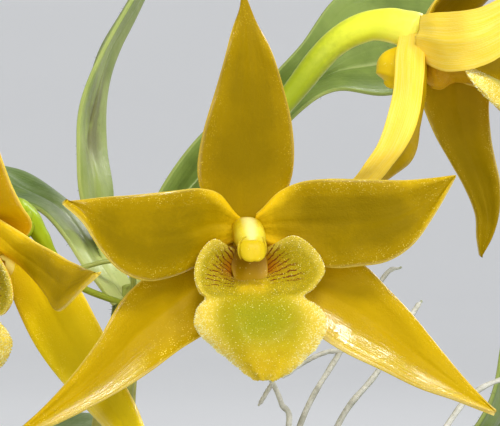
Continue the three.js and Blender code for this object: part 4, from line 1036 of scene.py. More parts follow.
def lip_surface(pitch):
    """The lip's surface, swung about its hinge by pitch degrees."""
    tilt = turns(-math.radians(pitch), 0, 0)[0]
    def surface(u, v):
        p = on_rails((LIP_LEFT, LIP_MIDDLE, LIP_RIGHT), u, v, 1 - step(0.34, 0.5, u))
        outward = np.stack([np.sign(v), np.ones_like(v), np.ones_like(v)], -1)
        p = p + curve(LIP_BOW, u) * outward * np.sin(math.pi * np.abs(v))[..., None]
        return (p - LIP_HINGE) @ tilt.T + LIP_HINGE
    return surface


def turn_of(place, yaw, pitch, roll, **others):
    """Turns a flower's own points into the frame's."""
    rx, ry, rz = turns(*(math.radians(a) for a in (pitch, -roll, yaw)))
    turn = rz @ rx @ ry
    return lambda points: np.asarray(points, float) @ turn.T + np.array(place, float)


def tepal_reliefs(seed):
    """A groove down the front and a keel down the back, with swells and rolled margins."""
    def swell(u, v):
        return 0.14 * ripple_over(u * 2.4, v * 0.8, seed)
    def front(u, v):
        groove = -0.14 * crest(v, 0.07) * step(1, 0.7, u)
        ridges = 0.014 * np.cos(v * 30) * step(1, 0.8, np.abs(v))
        return groove + swell(u, v) + ridges - 0.25 * np.abs(v) ** 9
    def back(u, v):
        keel = 0.3 * crest(v, 0.09) * step(1.02, 0.6, u)
        return keel - swell(u, v) + 0.25 * np.abs(v) ** 9
    return front, back


def add_tepal(flower, part, turn, seed, detail):
    node = flower + "_" + part
    if node in RAILED_TEPALS:
        surface = railed_surface(RAILED_TEPALS[node])
        facing, start = FACING.get(node, turn(FRONT) - turn([0, 0, 0])), -0.04
    else:
        surface = blade_surface(**SPINED_TEPALS[node], wave=0.25, seed=seed)
        facing, start = FRONT, -0.06
    rows, columns = int(88 * detail), 2 * int(22 * detail)
    body, _ = shell(surface, rows, columns, TEPAL_THICKNESS, facing, *tepal_reliefs(seed), edge=0.18, start=start)
    if node == "flower_2_left_lateral_sepal":
        # One half of it has the front's darker colours on both sides: painted shade on the half that turns from the
        # light
        body["blade"][:, 2] = np.where(body["blade"][:, 1] > 0.1, 1, body["blade"][:, 2])
    made = Form()
    made.take(body, turn if node in SPINED_TEPALS else None)
    material = OWN_FINISHES.get(node, TEPAL_FINISHES[part])
    made.piece(node + "_fine", material, "petal" if "petal" in part else "sepal", node)


def lip_zones(flat, u, v):
    """How green and how pale each place of the lip is, with a third value of 0 that the papillae fill with their
    painted glints, and its place in the lobes' fan.
    """
    x, z = flat[..., 0], flat[..., 2]
    green = np.exp(-np.abs(x / 6.2) ** 2.6 - np.abs((z + 10.1) / 3.5) ** 2.4) * step(0.4, 0.5, u)
    mid = step(0.47, 0.56, u)
    spread = np.abs(v)
    pale = mid * step(0.5, 0.96, spread) * step(1.02, 0.84, u) + (1 - mid) * 0.55 * step(0.84, 1, spread)
    pale = np.clip(pale + 0.25 * mid * step(0.9, 1, u), 0, 1)
    way = np.arctan2(z + 6.4, np.abs(x) + 1e-6)
    reach = np.hypot(x, z + 6.4)
    side = (1 - step(0.45, 0.52, u)) * step(0.12, 0.3, spread)
    return np.stack([green, pale, 0 * u], -1), np.stack([way, reach, side], -1)


def add_lip(flower, pitch, turn, shift, count, seed, detail):
    surface = lip_surface(pitch)
    shift = np.array(shift, float)
    rows, columns = int(96 * detail), 2 * int(40 * detail)
    def front(u, v):
        callus = 0.3 * crest(v, 0.2) * step(0.16, 0.3, u) * step(0.5, 0.36, u)
        frill = step(0.46, 0.58, u) * 0.07 * np.abs(v) ** 4 * np.sin(u * 95 + 3 * v)
        return callus + 0.12 * ripple_over(u * 4, v * 1.4, seed) + frill
    def back(u, v):
        return -front(u, v)
    body, (middle, normal, half, U, V) = shell(surface, rows, columns, LIP_THICKNESS, FRONT, front, back, edge=0.35)
    zone, fan = lip_zones(lip_surface(0)(U, V), U, V)
    zones = {name: np.tile(values.reshape(-1, 3), (2, 1)) for name, values in (("zone", zone), ("fan", fan))}
    made = Form()
    made.add(turn(body["points"]) + shift, body["quads"], blade=body["blade"], **zones)
    made.piece(flower + "_lip_fine", LIP, "lip", flower + "_lip")

    mid = step(0.42, 0.52, U)
    throat = step(0.12, 0.2, U) * (0.08 + 0.9 * step(0.75, 1, np.abs(V)))
    weight = mid * (0.2 + 1.6 * zone[..., 1]) + (1 - mid) * throat
    places, ways, grid = scatter(middle + normal * half[..., None], normal, weight, count, PAPILLA_SPACING, seed)
    i, j = np.minimum(grid.astype(int), [rows - 1, columns - 1]).T
    near = zone[i, j]
    random = np.random.default_rng(seed)
    # How many papillae get a tip painted pale as a glint: more of them where the lip is pale
    near[:, 2] = random.uniform(0, 1, len(near)) ** (8 - 7.2 * near[:, 1])
    size = 0.045 + 0.03 * near[:, 1] + 0.035 * random.uniform(0, 1, len(near)) ** 2
    bumps = Form()
    start = turn(places)
    aim = turn(places + ways) - start
    add_bumps(bumps, start + shift, aim, size, size * (1.3 + 1.7 * near[:, 1]), seed, near)

    def add_fringe(u, v, inner_u, inner_v, radius, height, number, own):
        """Longer papillae that stand out from the lip's edge."""
        edge = surface(u, v)
        start = turn(edge)
        aim = turn(edge + unit(edge - surface(inner_u, inner_v))) - start
        add_bumps(bumps, start + shift, aim, radius, height, seed + number, own, lean=0.8)

    for low, high, many, radius, height, number, pale, bright in FRINGES:
        t = np.linspace(low, high, many)
        for side in (-1, 1):
            own = np.stack([0 * t, pale + 0 * t, random.uniform(0, 1, many) < bright], -1)
            add_fringe(t, side * 0.995 + 0 * t, t, side * 0.93 + 0 * t, radius, height, number + side, own)
    # Papillae on the lip's tip, their tips painted part way pale as glints
    v = np.linspace(-1, 1, TIP_PAPILLAE)
    add_fringe(1 + 0 * v, v, 0.96 + 0 * v, v, 0.1, 0.28, 5, np.full((TIP_PAPILLAE, 3), [0, 0.8, 0.5]))
    bumps.piece(flower + "_lip_papillae", PAPILLA, "lip")


def add_column(flower, turn):
    """The column with its foot, the hollow in its throat and the thin rim round its anther."""
    made = Form()
    body = tube(
        [[0, 1.6, 1.2], [0, -1, 0.95], [-0.1, -3, 0.25], [-0.25, -4.8, -0.7]],
        lambda u: 2.02 * eased([[0, 0.9], [0.4, 1], [0.75, 0.98], [1, 0.86]], u),
        sides=44, rows=32, up=(0, 0, 1), blunt=0.18,
        section=lambda angle, u: squared(angle, 2.4) * (1 - 0.07 * step(0.3, 0.9, np.array(u)) * (np.sin(angle) < 0)),
    )
    made.take(body, turn)
    foot = tube(
        [[0, 0.2, 0.2], [0, 2.6, -2.2], [0, 4.4, -4.6], [0, 4.8, -7.2]],
        lambda u: eased([[0, 1.4], [0.4, 1.8], [0.72, 2.8], [0.9, 2.4], [1, 1]], u),
        sides=32, rows=30, up=(1, 0, 0), blunt=0.7,
    )
    made.take(foot, turn, foot["blade"] * [0, 1, 1] + [0.3, 0, 0])
    def hollow(u, v):
        """Squarish, with a round lower end."""
        x = 0.15 + v * (2.4 * (1 - 0.12 * u**6))
        y = 0.5 - 1.3 * u**2 + 0.1 * np.abs(v) ** 6
        z = -0.6 - 4.7 * u + 0.4 * np.abs(v) ** 4 * u
        return np.stack([x, y, z], -1)
    body, _ = shell(hollow, rows=20, columns=20, thickness=0.5, facing=FRONT, edge=0.6)
    # Its face of -1 gives it the finish's dark gold, partly painted shade
    made.take(body, turn, body["blade"] * [1, 1, 0] + [0, 0, -1])
    # The rim is open below
    angle = np.linspace(math.radians(-40), math.radians(220), 13)
    across, up = squared(angle, 3) * np.cos(angle), squared(angle, 3) * np.sin(angle)
    ring = np.stack([-0.28 + 1.72 * across, -5.15 - 0.35 * np.sin(angle), -1.02 + 1.62 * up], -1)
    girth = [[0, 0.08], [0.15, 0.16], [0.32, 0.13], [0.5, 0.03], [0.68, 0.13], [0.85, 0.16], [1, 0.08]]
    rim = tube(ring, lambda u: eased(girth, u), sides=10, rows=60, up=(0, 1, 0), blunt=0.7)
    made.take(rim, turn, rim["blade"] * [0, 1, 1] + [1.3, 0, 0])
    node = flower + "_column"
    made.piece(node + "_fine", OWN_FINISHES.get(node, COLUMN), "column", node)


def add_anther_cap(flower, turn):
    """A squarish dome with a shallow cleft below."""
    rows, sides = 30, 48
    A, F = np.meshgrid(circle(sides), np.linspace(-math.pi / 2, math.pi / 2, rows))
    wide = np.cos(F) ** 0.6 * squared(A, 2.8)
    deep = np.sign(np.sin(F)) * np.abs(np.sin(F)) ** 0.85
    cleft = 0.1 * crest(np.cos(A), 0.16) * (np.sin(A) < 0) * np.cos(F)
    x, z = 1.68 * wide * np.cos(A), (1.6 * wide - cleft) * np.sin(A)
    forward = deep + 0.08 * np.cos(2 * x) * (F > 0)
    points = np.stack([x - 0.28, -5.2 - forward + 0.3 * z, z * 0.97 - 1.02 - 0.3 * forward], -1)
    blade = np.stack([step(-1, 1.2, F), A / math.pi - 1, np.ones_like(A)], -1)
    made = Form()
    made.add(turn(points.reshape(-1, 3)), grid_quads(rows, sides, closed=True), blade=blade.reshape(-1, 3))
    made.piece(flower + "_anther_cap_fine", ANTHER, "anther", flower + "_anther_cap")


def add_stalk(flower, turn, pedicel, girth, ends=None, **others):
    """The ovary and its stalk: round by the stem and three-angled towards the flower."""
    def section(angle, u):
        angled, ribbed = (eased(pairs, np.array([u]))[0] for pairs in ([[0.3, 0], [0.8, 1]], [[0.1, 0.4], [0.6, 1]]))
        return 1 + 0.05 * angled * np.cos(3 * angle) + 0.012 * np.cos(6 * angle + math.pi) * ribbed
    spine = pedicel + (ends or turn([[0, 6.2, 2.2], [0, 3.25, 1.2]]).tolist())
    made = Form()
    made.take(tube(spine, lambda u: eased(girth, u), sides=36, rows=90, up=(0, 0, 1), blunt=0.3, section=section))
    material = OWN_FINISHES.get(flower + "_stalk", STALK)
    made.piece(flower + "_stalk_fine", material, "pedicel", flower + "_ovary_and_pedicel")


for number, (flower, details) in enumerate(FLOWERS.items()):
    turn = turn_of(**details)
    seed = 100 * number
    detail = details["detail"]
    for n, part in enumerate(TEPAL_FINISHES, 1):
        add_tepal(flower, part, turn, seed + n, detail)
    shift = details.get("lip_shift", [0, 0, 0])
    add_lip(flower, details["lip_pitch"], turn, shift, details["papillae"], seed + 6, detail)
    add_column(flower, turn)
    add_anther_cap(flower, turn)
    add_stalk(flower, turn, **details)

# Leaves

RAILED_LEAVES = {
    "leaf_1_left": (
        [[-9, 2.4, 123.6], [-12, 5.7, 129], [-15.9, 12.3, 133.1], [-19.8, 16.5, 137.2], [-25.1, 20.1, 140.3],
         [-30.4, 23.2, 142.3], [-39.3, 25.6, 144.4], [-49.6, 26.6, 144.4], [-59.6, 25.5, 141.4]],
        [[-10.4, 0.8, 122.8], [-14, 2, 127.8], [-17.1, 6, 132.3], [-21, 9, 136.1], [-25.9, 12, 138.6],
         [-31, 15, 140.4], [-39.3, 18.5, 142.3], [-49.5, 22, 142.8], [-59.7, 25, 141.3]],
        [[-11.9, -0.6, 122.2], [-15.3, -1.6, 127.2], [-18.3, -0.3, 131.4], [-22.2, 1.5, 135.1], [-26.8, 3.9, 136.8],
         [-31.6, 6.8, 138.4], [-39.2, 11.4, 140.2], [-49.3, 17.5, 141.1], [-59.7, 24.5, 141.1]],
    ),
    "leaf_1_up": (
        [[-11.5, 3.3, 124.5], [-14.5, 1.9, 131.2], [-16.6, 0.5, 137.4], [-17, 1.9, 143.8], [-16.7, 6.2, 150.9],
         [-14.4, 12.5, 158.4], [-10.7, 20.6, 166.4], [-6.5, 29.7, 174.1], [-1.7, 39.5, 181.4]],
        [[-11.1, 4.6, 124.3], [-13.7, 5.6, 131.2], [-15.1, 6, 137.5], [-16, 8.5, 144], [-15.6, 13, 151.3],
         [-13.5, 19, 158.9], [-10.2, 26, 166.9], [-6, 33, 174.8], [-1.7, 40, 181.5]],
        [[-10.5, 5.8, 124.4], [-12.5, 9.1, 131.3], [-13.1, 11.3, 137.9], [-14.2, 14.9, 144.1], [-14.3, 19.8, 151.6],
         [-12.6, 25.5, 159.3], [-9.5, 31.3, 167.3], [-5.3, 36.3, 175.5], [-1.6, 40.5, 181.6]],
    ),
    "leaf_1_right": (
        [[-10, 4.4, 124.8], [-8.2, 5.8, 132], [-5.4, 6.4, 138.8], [0.3, 9.3, 146.5], [7.9, 12.8, 152.4],
         [14, 16.8, 159], [21.1, 24, 167.9], [32.6, 28.5, 168.3], [45.2, 33.8, 159.9]],
        [[-9.6, 5, 124.3], [-6.7, 7.6, 130.3], [-3, 9, 136.8], [3.8, 12.4, 144.3], [11.2, 16.4, 150.9],
         [18.9, 20, 155.1], [25.9, 24, 157.2], [34.1, 28.5, 159.6], [45.4, 34, 159.8]],
        [[-9, 3.6, 124.1], [-4.8, 3.6, 129], [0, 3.4, 134.9], [7.3, 5.4, 142.2], [13.8, 8.1, 149.6],
         [19.2, 10.9, 152.5], [26.6, 16, 152.1], [35.2, 23.6, 154.8], [45.5, 33.6, 159.5]],
    ),
}
LEAVES = {
    "leaf_3_up": dict(
        spine=[[31, 7.8, 96.5], [41.5, 8.5, 104], [49.5, 10, 120], [50, 13, 140], [46, 18, 157]],
        side=[[0.2, 0.95, -0.2], [0.75, 0.6, 0.25]], half=8.5, fold=0.22,
    ),
    "leaf_3_right": dict(
        spine=[[30.5, 6, 94.5], [42, 1, 97.4], [57, -6, 98], [73, -13, 93.5], [86, -18, 84]],
        side=[[0.2, 0.9, 0.2], [0.2, 0.95, 0.25]], half=9, fold=0.2,
    ),
    "leaf_3_back": dict(
        spine=[[29.5, 10, 94.5], [35.5, 22, 96.6], [43, 36, 96.4], [50, 52, 92], [54, 66, 83]],
        side=[[-0.95, 0.3, 0.1], [-0.9, 0.35, 0.3]], half=8.5, fold=0.22,
    ),
    "leaf_4_left": dict(
        spine=[[-31.2, 18, 97], [-40, 17, 104.5], [-54, 14, 109], [-69, 10, 106], [-82, 6, 97]],
        side=[[0.1, 0.95, 0.1], [-0.1, 0.98, -0.2]], half=9, fold=0.2,
    ),
    "leaf_4_up": dict(
        spine=[[-30.8, 20.4, 98], [-37.5, 26, 108], [-45, 33, 122], [-51, 42, 134], [-55, 53, 142]],
        side=[[0.7, 0.6, -0.3], [0.85, 0.5, 0.1]], half=8.5, fold=0.25,
    ),
    "leaf_4_back": dict(
        spine=[[-28.5, 20.5, 96.5], [-25, 32, 101], [-20, 45, 103], [-13, 58, 98], [-6, 68, 89]],
        side=[[0.95, -0.2, 0.1], [0.9, -0.4, 0.1]], half=8, fold=0.2,
    ),
    "leaf_5_front": dict(
        spine=[[3.4, -18.2, 84.5], [9, -25, 91], [17, -34, 94], [25, -44, 90], [31, -53, 82]],
        side=[[0.8, 0.6, 0], [0.75, 0.6, 0.3]], half=7, fold=0.25,
    ),
    "leaf_5_left": dict(
        spine=[[1.6, -17.2, 84.5], [-5, -22, 92], [-14, -27, 97], [-24, -32, 97], [-34, -37, 91]],
        side=[[-0.4, 0.9, 0], [-0.5, 0.8, 0.3]], half=6.5, fold=0.25,
    ),
}
LEAF_FINISHES = {"leaf_1_up": LEAF_LIGHT, "leaf_1_left": LEAF_BENT}


def add_leaf(name, surface, seed):
    def notched(u, v):
        return surface(u * (1 - 0.018 * step(0, 0.6, v) * step(0.7, 1, u)), v)
    def swell(u, v):
        return 0.3 * ripple_over(u * 3, v * 0.8, seed) * step(0, 0.2, u) * step(1, 0.8, u)
    def ribs(v):
        return np.cos(v * 34) * step(1, 0.85, np.abs(v))
    def upper(u, v):
        return -0.5 * crest(v, 0.05) * step(1, 0.75, u) + swell(u, v) + 0.025 * ribs(v)
    def under(u, v):
        return 0.7 * crest(v, 0.055) * step(1, 0.7, u) - swell(u, v) + 0.03 * ribs(v)
    body, (middle, normal, half, U, V) = shell(
        notched, rows=72, columns=30, thickness=1.0, facing=(0, -0.5, 1), front=upper, back=under, edge=0.35,
    )
    made = Form()
    made.take(body)
    made.piece(name + "_fine", LEAF_FINISHES.get(name, LEAF), "leaf", name)
    # Short dark hairs on the back, thickest by the stem
    skin = middle - normal * (half - upper(U, V) + under(U, V))[..., None]
    weight = 0.03 + 1.6 * step(0.3, 0, U)
    hairs = Form()
    add_hairs(
        hairs, skin, -normal, weight, count=240, spacing=0.4, length=0.45, radius=0.03,
        place_seed=seed, bend_seed=seed,
    )
    hairs.piece(name + "_hairs", HAIR, "leaf")


for number, (name, rails) in enumerate(RAILED_LEAVES.items()):
    add_leaf(name, railed_surface(rails, 0.8), 400 + number)
for number, (name, form) in enumerate(LEAVES.items()):
    add_leaf(name, blade_surface(**form, wave=0.5, seed=420 + number), 410 + number)

# Stems, with their joints, grooves and dry sheaths

RINGS = [3 / 18, 7 / 18, 11 / 18, 15 / 18]
STEM_PROFILE = [[0, 0.5], [0.14, 0.76], [0.34, 1], [0.54, 0.78], [0.68, 0.46], [0.8, 0.38], [1, 0.36]]
# Each stem's spine, its greatest radius, how many dry sheaths it has, and whether its leaves have a green one
STEMS = {
    "pseudobulb_1": ([[-10.4, 2.2, 59], [-11.8, 2.4, 82], [-12.2, 2.2, 104], [-9, 2, 124]], 6.2, 3, True),
    "pseudobulb_2": ([[-1, 15, 59], [-2, 17.5, 80], [-4.5, 21, 100]], 6, 4, False),
    "pseudobulb_3": ([[12.5, 3, 59], [20, 4.6, 79], [30, 7.5, 97]], 6.4, 3, True),
    "pseudobulb_4": ([[-17, 12.5, 59], [-23, 15, 79], [-30, 18.5, 98]], 5.8, 3, True),
    "pseudobulb_5": ([[0, -10.5, 59], [1, -13.5, 73], [3, -16.5, 86]], 4.6, 2, True),
    "pseudobulb_6": ([[11, 17, 59], [15, 21, 78], [17, 26, 93]], 5.2, 4, False),
}
DRY_BRACT = [[-9.4, 0.8, 122.6], [-9.2, -1.6, 126.4], [-11.6, -2.6, 128.4], [-16.2, -3, 127.5]]
HAIR_RADIUS = 0.035


def from_ring(u):
    """How far each place of a stem is from its nearest ring."""
    return np.min(np.abs(np.array(RINGS)[:, None] - np.ravel(u)[None]), 0).reshape(np.shape(u))


def stem_radius(u, swell):
    nearest = from_ring(u)
    return swell * eased(STEM_PROFILE, u) * (1 + 0.075 * crest(nearest, 0.014) - 0.03 * crest(nearest - 0.03, 0.012))


def stem_section(angle, u):
    grooves = np.abs(np.cos(5.5 * angle)) * 2 - 1.2
    return 1 + 0.05 * np.cos(4 * angle) + 0.035 * (1 - crest(from_ring(u), 0.02)) * grooves


def add_sheath(form, spine, swell, start, end, proud, seed, flare, torn, rows, columns, thickness, face=None):
    """A sheath wrapped once and a little over round a stem, with a torn upper edge.
    face is the side that both of its sides look like. Gives its middle and its outward normal."""
    def surface(u, v):
        edge = 1 - torn * (0.5 + 0.5 * ripple_over(np.sin(v * math.pi), np.cos(v * math.pi), seed, 0.7))
        t = start + (end - start) * u * edge
        _, across, out = frame_along(spine, t, (0, 1, 0))
        angle = v * math.pi * 1.05
        r = stem_radius(t, swell) * (1 + 0.05 * np.cos(4 * angle)) + proud + 0.1 * v
        r = r + flare * step(0.6, 1, u) + 0.12 * np.sin(9 * angle) * step(0.2, 1, u)
        return curve(spine, t) + (r * np.cos(angle))[..., None] * across + (r * np.sin(angle))[..., None] * out
    body, (middle, normal, _, U, _) = shell(surface, rows, columns, thickness, facing=(0, 0, 0.001), edge=0.5)
    axis = curve(spine, np.clip(start + (end - start) * U, 0, 1))
    form.take(body, blade=None if face is None else body["blade"] * [1, 1, 0] + [0, 0, face])
    return middle, normal * np.sign(((middle - axis) * normal).sum(-1, keepdims=True))


for number, (name, (spine, swell, sheathed, leafy)) in enumerate(STEMS.items()):
    made = Form()
    made.take(tube(
        spine, lambda u: stem_radius(u, swell), sides=66, rows=84, up=(0, 1, 0), blunt=0.5, section=stem_section,
    ))
    if name == "pseudobulb_1":
        bract = tube(DRY_BRACT, lambda u: 0.45 - 0.13 * u, sides=14, rows=40, up=(0, 1, 0), blunt=0.7)
        made.take(bract, blade=bract["blade"] * [0.1, 1, 1] + [0.9, 0, 0])
    made.piece(name + "_fine", STEM, "stem", name)
    stops = [0.02] + RINGS
    sheaths, hairs = Form(), Form()
    for k in range(sheathed):
        end = stops[k + 1] - 0.02 + (0.03 if k % 2 else 0)
        middle, outward = add_sheath(
            sheaths, spine, swell, stops[k], end, proud=0.22, seed=500 + 10 * number + k,
            flare=0.15 + 0.25 * (k % 2), torn=0.1 + 0.08 * (k % 3), rows=14, columns=60, thickness=0.16,
        )
        add_hairs(
            hairs, middle + outward * 0.08, outward, np.ones(middle.shape[:2]), count=150, spacing=0.6, length=0.7,
            radius=HAIR_RADIUS, place_seed=600 + number + k, bend_seed=number + k,
        )
    sheaths.piece(name + "_dry_sheaths", SHEATH, "stem")
    if leafy:
        green = Form()
        middle, outward = add_sheath(
            green, spine, swell, 0.86, 0.985, proud=0.2, seed=560 + number, flare=0.1, torn=0.06,
            rows=12, columns=56, thickness=0.18, face=1,
        )
        green.piece(name + "_leaf_sheath", LEAF, "leaf")
        add_hairs(
            hairs, middle + outward * 0.1, outward, np.ones(middle.shape[:2]), count=90, spacing=0.45, length=0.6,
            radius=HAIR_RADIUS, place_seed=680 + number, bend_seed=40 + number,
        )
    hairs.piece(name + "_hairs", HAIR, "stem")

# Roots

# Spines of the roots that stand up from the rhizome
HELD_ROOTS = [
    [[3, 5, 61.5], [8, 3.6, 82], [13.8, 4, 104.6], [19.7, 5, 115.5], [25.8, 7, 125.8], [28.4, 8, 127.3]],
    [[8, 6, 61.5], [13, 6.4, 86], [19.2, 6, 104.6], [25, 6.2, 112.6], [30, 7, 120.8], [31.3, 7.6, 122.5]],
    [[19.9, 5, 115.6], [17.4, 4.4, 115.4], [14, 3.6, 113.7], [11.6, 3, 112]],
    [[-3, 4, 61.5], [6, -2, 86], [12.1, -1.2, 104.6], [11.3, -1.4, 108.8], [10, -2, 111.9], [8.8, -3, 114.4]],
    [[10.1, -1.9, 111.6], [9.2, -2.4, 110.2], [8.2, -2.8, 108.6]],
    [[6, 3, 61.5], [19, -6, 84], [32.4, -7.4, 104.4], [37.7, -6, 110.7], [44.6, -5, 113.4]],
]
# Their radius at both ends, and the share of each that ends green
HELD_ROOT_SIZES = [
    (0.6, 0.4, 0.04), (0.65, 0.42, 0.04), (0.45, 0.38, 0), (0.6, 0.38, 0.04), (0.42, 0.36, 0), (0.65, 0.42, 0.04),
]
RHIZOME = [[-16, 9.5, 62.6], [-9, 8.4, 62.6], [-2, 5, 62.8], [5, 6, 62.6], [10.5, 10.5, 62.4]]
TRAILING_ROOTS = 4
DIVING_ROOTS = 6
roots = Form()


def random_from(seed):
    """Seeded random numbers, one by one."""
    state = seed
    while True:
        state = (state * 1664525 + 1013904223) % 4294967296
        yield state / 4294967296


def polar(r, angle, z, centre=(0, 0)):
    return [centre[0] + r * math.cos(angle), centre[1] + r * math.sin(angle), z]


def add_root(spine, radius, sides, rows, seed, tip=0.0, up=(0, 1, 0)):
    """A root with an uneven spongy skin. tip is the share of it that ends green."""
    def section(angle, u):
        return 1 + 0.06 * np.sin(3 * angle + 9 * u + seed) + 0.04 * np.sin(5 * angle - 23 * u)
    def size(u):
        return radius(u) * (1 + 0.07 * ripple_over(u * rows / 9, 0 * u, seed))
    body = tube(spine, size, sides, rows, up, blunt=0.9, section=section)
    body["blade"][:, 2] = step(1 - tip, 1, body["blade"][:, 0]) if tip else 0
    roots.take(body)


for number, (spine, (thick, thin, tip)) in enumerate(zip(HELD_ROOTS, HELD_ROOT_SIZES)):
    add_root(spine, lambda u: 0.8 * (thick + (thin - thick) * u) * (1 - 0.5 * step(0.86, 1, u)), 12, 80, number, tip)
add_root(RHIZOME, lambda u: eased([[0, 1.6], [0.15, 2.6], [0.85, 2.6], [1, 1.6]], u), 28, 60, 20, up=(0, 0, 1))
random = random_from(11)
for number in range(TRAILING_ROOTS):
    angle = -2.45 + number * 2 * math.pi / TRAILING_ROOTS + 0.35 * next(random)
    sway = 0.18 * (next(random) - 0.5)
    drop = 40 + 14 * next(random)
    spine = [
        polar(2, angle, 63.5, (-1, 6)), polar(14, angle + sway, 70.5, (0, 4)), polar(30, angle + sway, 72.5),
        polar(43, angle, 74.6), polar(49.5, angle - sway, 71), polar(49, angle - 2 * sway, drop + 10),
        polar(48, angle - 3 * sway, drop),
    ]
    add_root(spine, lambda u: eased([[0, 1.3], [0.9, 1.15], [1, 0.6]], u), 16, 110, 30 + number, 0.09, (0, 0, 1))
for number in range(DIVING_ROOTS):
    angle = 0.25 + number * 2 * math.pi / DIVING_ROOTS + 0.3 * next(random)
    reach = 19 + 8 * next(random)
    spine = [
        polar(2, angle, 62.5, (-1, 6)), polar(10, angle, 68.5 + 2 * next(random), (0, 4)),
        polar(reach - 4, angle + 0.15, 69, (0, 1)), polar(reach, angle + 0.2, 61),
    ]
    add_root(spine, lambda u: 1.1 + 0 * u, 16, 70, 40 + number, up=(0.3, 0.2, 1))
roots.piece("roots_fine", ROOT, "root", "rhizome_and_roots")

# Bark: rough chips and crumbs over a bed of them

POT_HEIGHT = 72
POT_FOOT_RADIUS = 31
POT_NECK_RADIUS = 41
POT_RIM_RADIUS = 46
POT_RIM_HEIGHT = 15
POT_WALL = 4.5
POT_FLOOR = 6
POT_SIDES = 144
MEDIUM_TOP = 63
CHIP_COUNT = 22
CHIP_SPREAD = 39
CRUMB_COUNT = 160
CRUMB_SPREAD = 38.5
GOLDEN_ANGLE = 2.39996
BED_RADIUS = 40.6
BED_TOP = 61.4
BED_FOOT = 6.4
BED_SIDES = 90
CORNERS = list(product((-1, 1), repeat=3))
bark = Form()


def rotation(x, y, z):
    rx, ry, rz = turns(x, y, z)
    return rx @ ry @ rz


def add_chip(corners, turn, place, cuts, seed):
    """A chip from its eight corners, x slowest and z fastest, with broken faces and worn edges."""
    corners = np.asarray(corners, float).reshape(2, 2, 2, 3)
    t = np.linspace(0, 1, cuts + 1)
    a, b = np.meshgrid(t, t, indexing="ij")
    local, quads = [], []
    for n, (axis, end) in enumerate(product(range(3), (0, 1))):
        q = [a, b]
        q.insert(axis, np.full_like(a, end))
        local.append(np.stack(q, -1).reshape(-1, 3))
        face = grid_quads(cuts + 1, cuts + 1) + n * (cuts + 1) ** 2
        quads.append(face[:, ::-1] if (axis + end) % 2 else face)
    local = np.concatenate(local)
    w = [np.stack([1 - local[:, k], local[:, k]]) for k in range(3)]
    p = np.einsum("ip,jp,kp,ijkc->pc", w[0], w[1], w[2], corners)
    middle = corners.reshape(-1, 3).mean(0)
    worn = (np.abs(local * 2 - 1) ** 4).sum(-1) - 1
    p = middle + (p - middle) * (1 - 0.13 * np.clip(worn, 0, 2) ** 0.8)[:, None]
    p = p + unit(p - middle) * (0.28 * ripple(p, 2.6, seed) + 0.14 * ripple(p, 1.0, seed + 1))[:, None]
    p[:, 2] += 0.16 * np.sign(ripple(p[:, :2], 4.0, seed + 2)) * (local[:, 2] > 0.5)
    placed = p @ turn.T + place
    # Held inside the pot's tapering wall
    reach = np.hypot(placed[:, 0], placed[:, 1])
    limit = POT_RIM_RADIUS - POT_WALL - 0.9 - np.clip(66 - placed[:, 2], 0, 9) * 0.25
    placed[:, :2] *= np.minimum(1, limit / np.maximum(reach, 1e-6))[:, None]
    bark.add(placed, np.concatenate(quads), chip=p + [seed % 17 * 9, seed % 13 * 7, seed % 7 * 5])


random = random_from(7)
for i in range(CHIP_COUNT):
    r = CHIP_SPREAD * math.sqrt((i + 0.5) / CHIP_COUNT)
    angle = i * GOLDEN_ANGLE + 0.5 * next(random)
    size = [8 + 7 * next(random), 5 + 4 * next(random), 3.5 + 2.5 * next(random)]
    corners = []
    for x, y, z in CORNERS:
        corners.append([
            x * size[0] * (0.8 + 0.35 * next(random)) / 2,
            y * size[1] * (0.7 + 0.5 * next(random)) / 2,
            z * size[2] * (0.7 + 0.5 * next(random)) / 2,
        ])
    tips = [0.9 * (next(random) - 0.5), 0.9 * (next(random) - 0.5), 2 * math.pi * next(random)]
    height = MEDIUM_TOP + 0.4 + 2.4 * next(random)
    add_chip(corners, rotation(*tips), polar(r, angle, height), 7, i)
dice = np.random.default_rng(70)
for i in range(CRUMB_COUNT):
    r = CRUMB_SPREAD * math.sqrt((i + 0.5) / CRUMB_COUNT)
    small = i % 3 == 0
    size = dice.uniform([3, 2, 1.6], [6, 4, 2.8]) if small else dice.uniform([6, 4, 2.2], [12, 7, 4.4])
    corners = np.array(CORNERS) * size * dice.uniform(0.72, 1.15, (8, 3)) / 2
    turn = rotation(dice.normal(0, 0.35), dice.normal(0, 0.35), dice.uniform(0, 6.3))
    height = MEDIUM_TOP + dice.uniform(-1.6, 1.6) + (1.6 if small else 0)
    add_chip(corners, turn, polar(r, i * GOLDEN_ANGLE + 1.1, height), 4 if small else 5, 100 + i)
# The bed beneath them: its rough top, and its side and foot
points, quads = lathe([[r, 0] for r in np.linspace(0.5, BED_RADIUS, 40)], BED_SIDES)
points[..., 2] = BED_TOP + 0.9 * ripple(points[..., :2], 5.0, 8) + 0.5 * ripple(points[..., :2], 1.7, 9)
bark.add(points, quads, chip=points.reshape(-1, 3) * [1, 1, 4])
points, quads = lathe([[BED_RADIUS, 61], [38, 50], [27.2, BED_FOOT], [0.5, BED_FOOT]], BED_SIDES)
bark.add(points, quads, chip=points.reshape(-1, 3))
bark.piece("bark_chips", BARK, "bark", "bark")

# Pot: hand-turned terracotta

DRAIN_HOLES = 3
DRAIN_RADIUS = 4
DRAIN_REACH = 16
DRAIN_SPAN = (-2, 9)
shoulder = POT_HEIGHT - POT_RIM_HEIGHT
inner_top = POT_RIM_RADIUS - POT_WALL
inner_floor = POT_FOOT_RADIUS - POT_WALL + 1


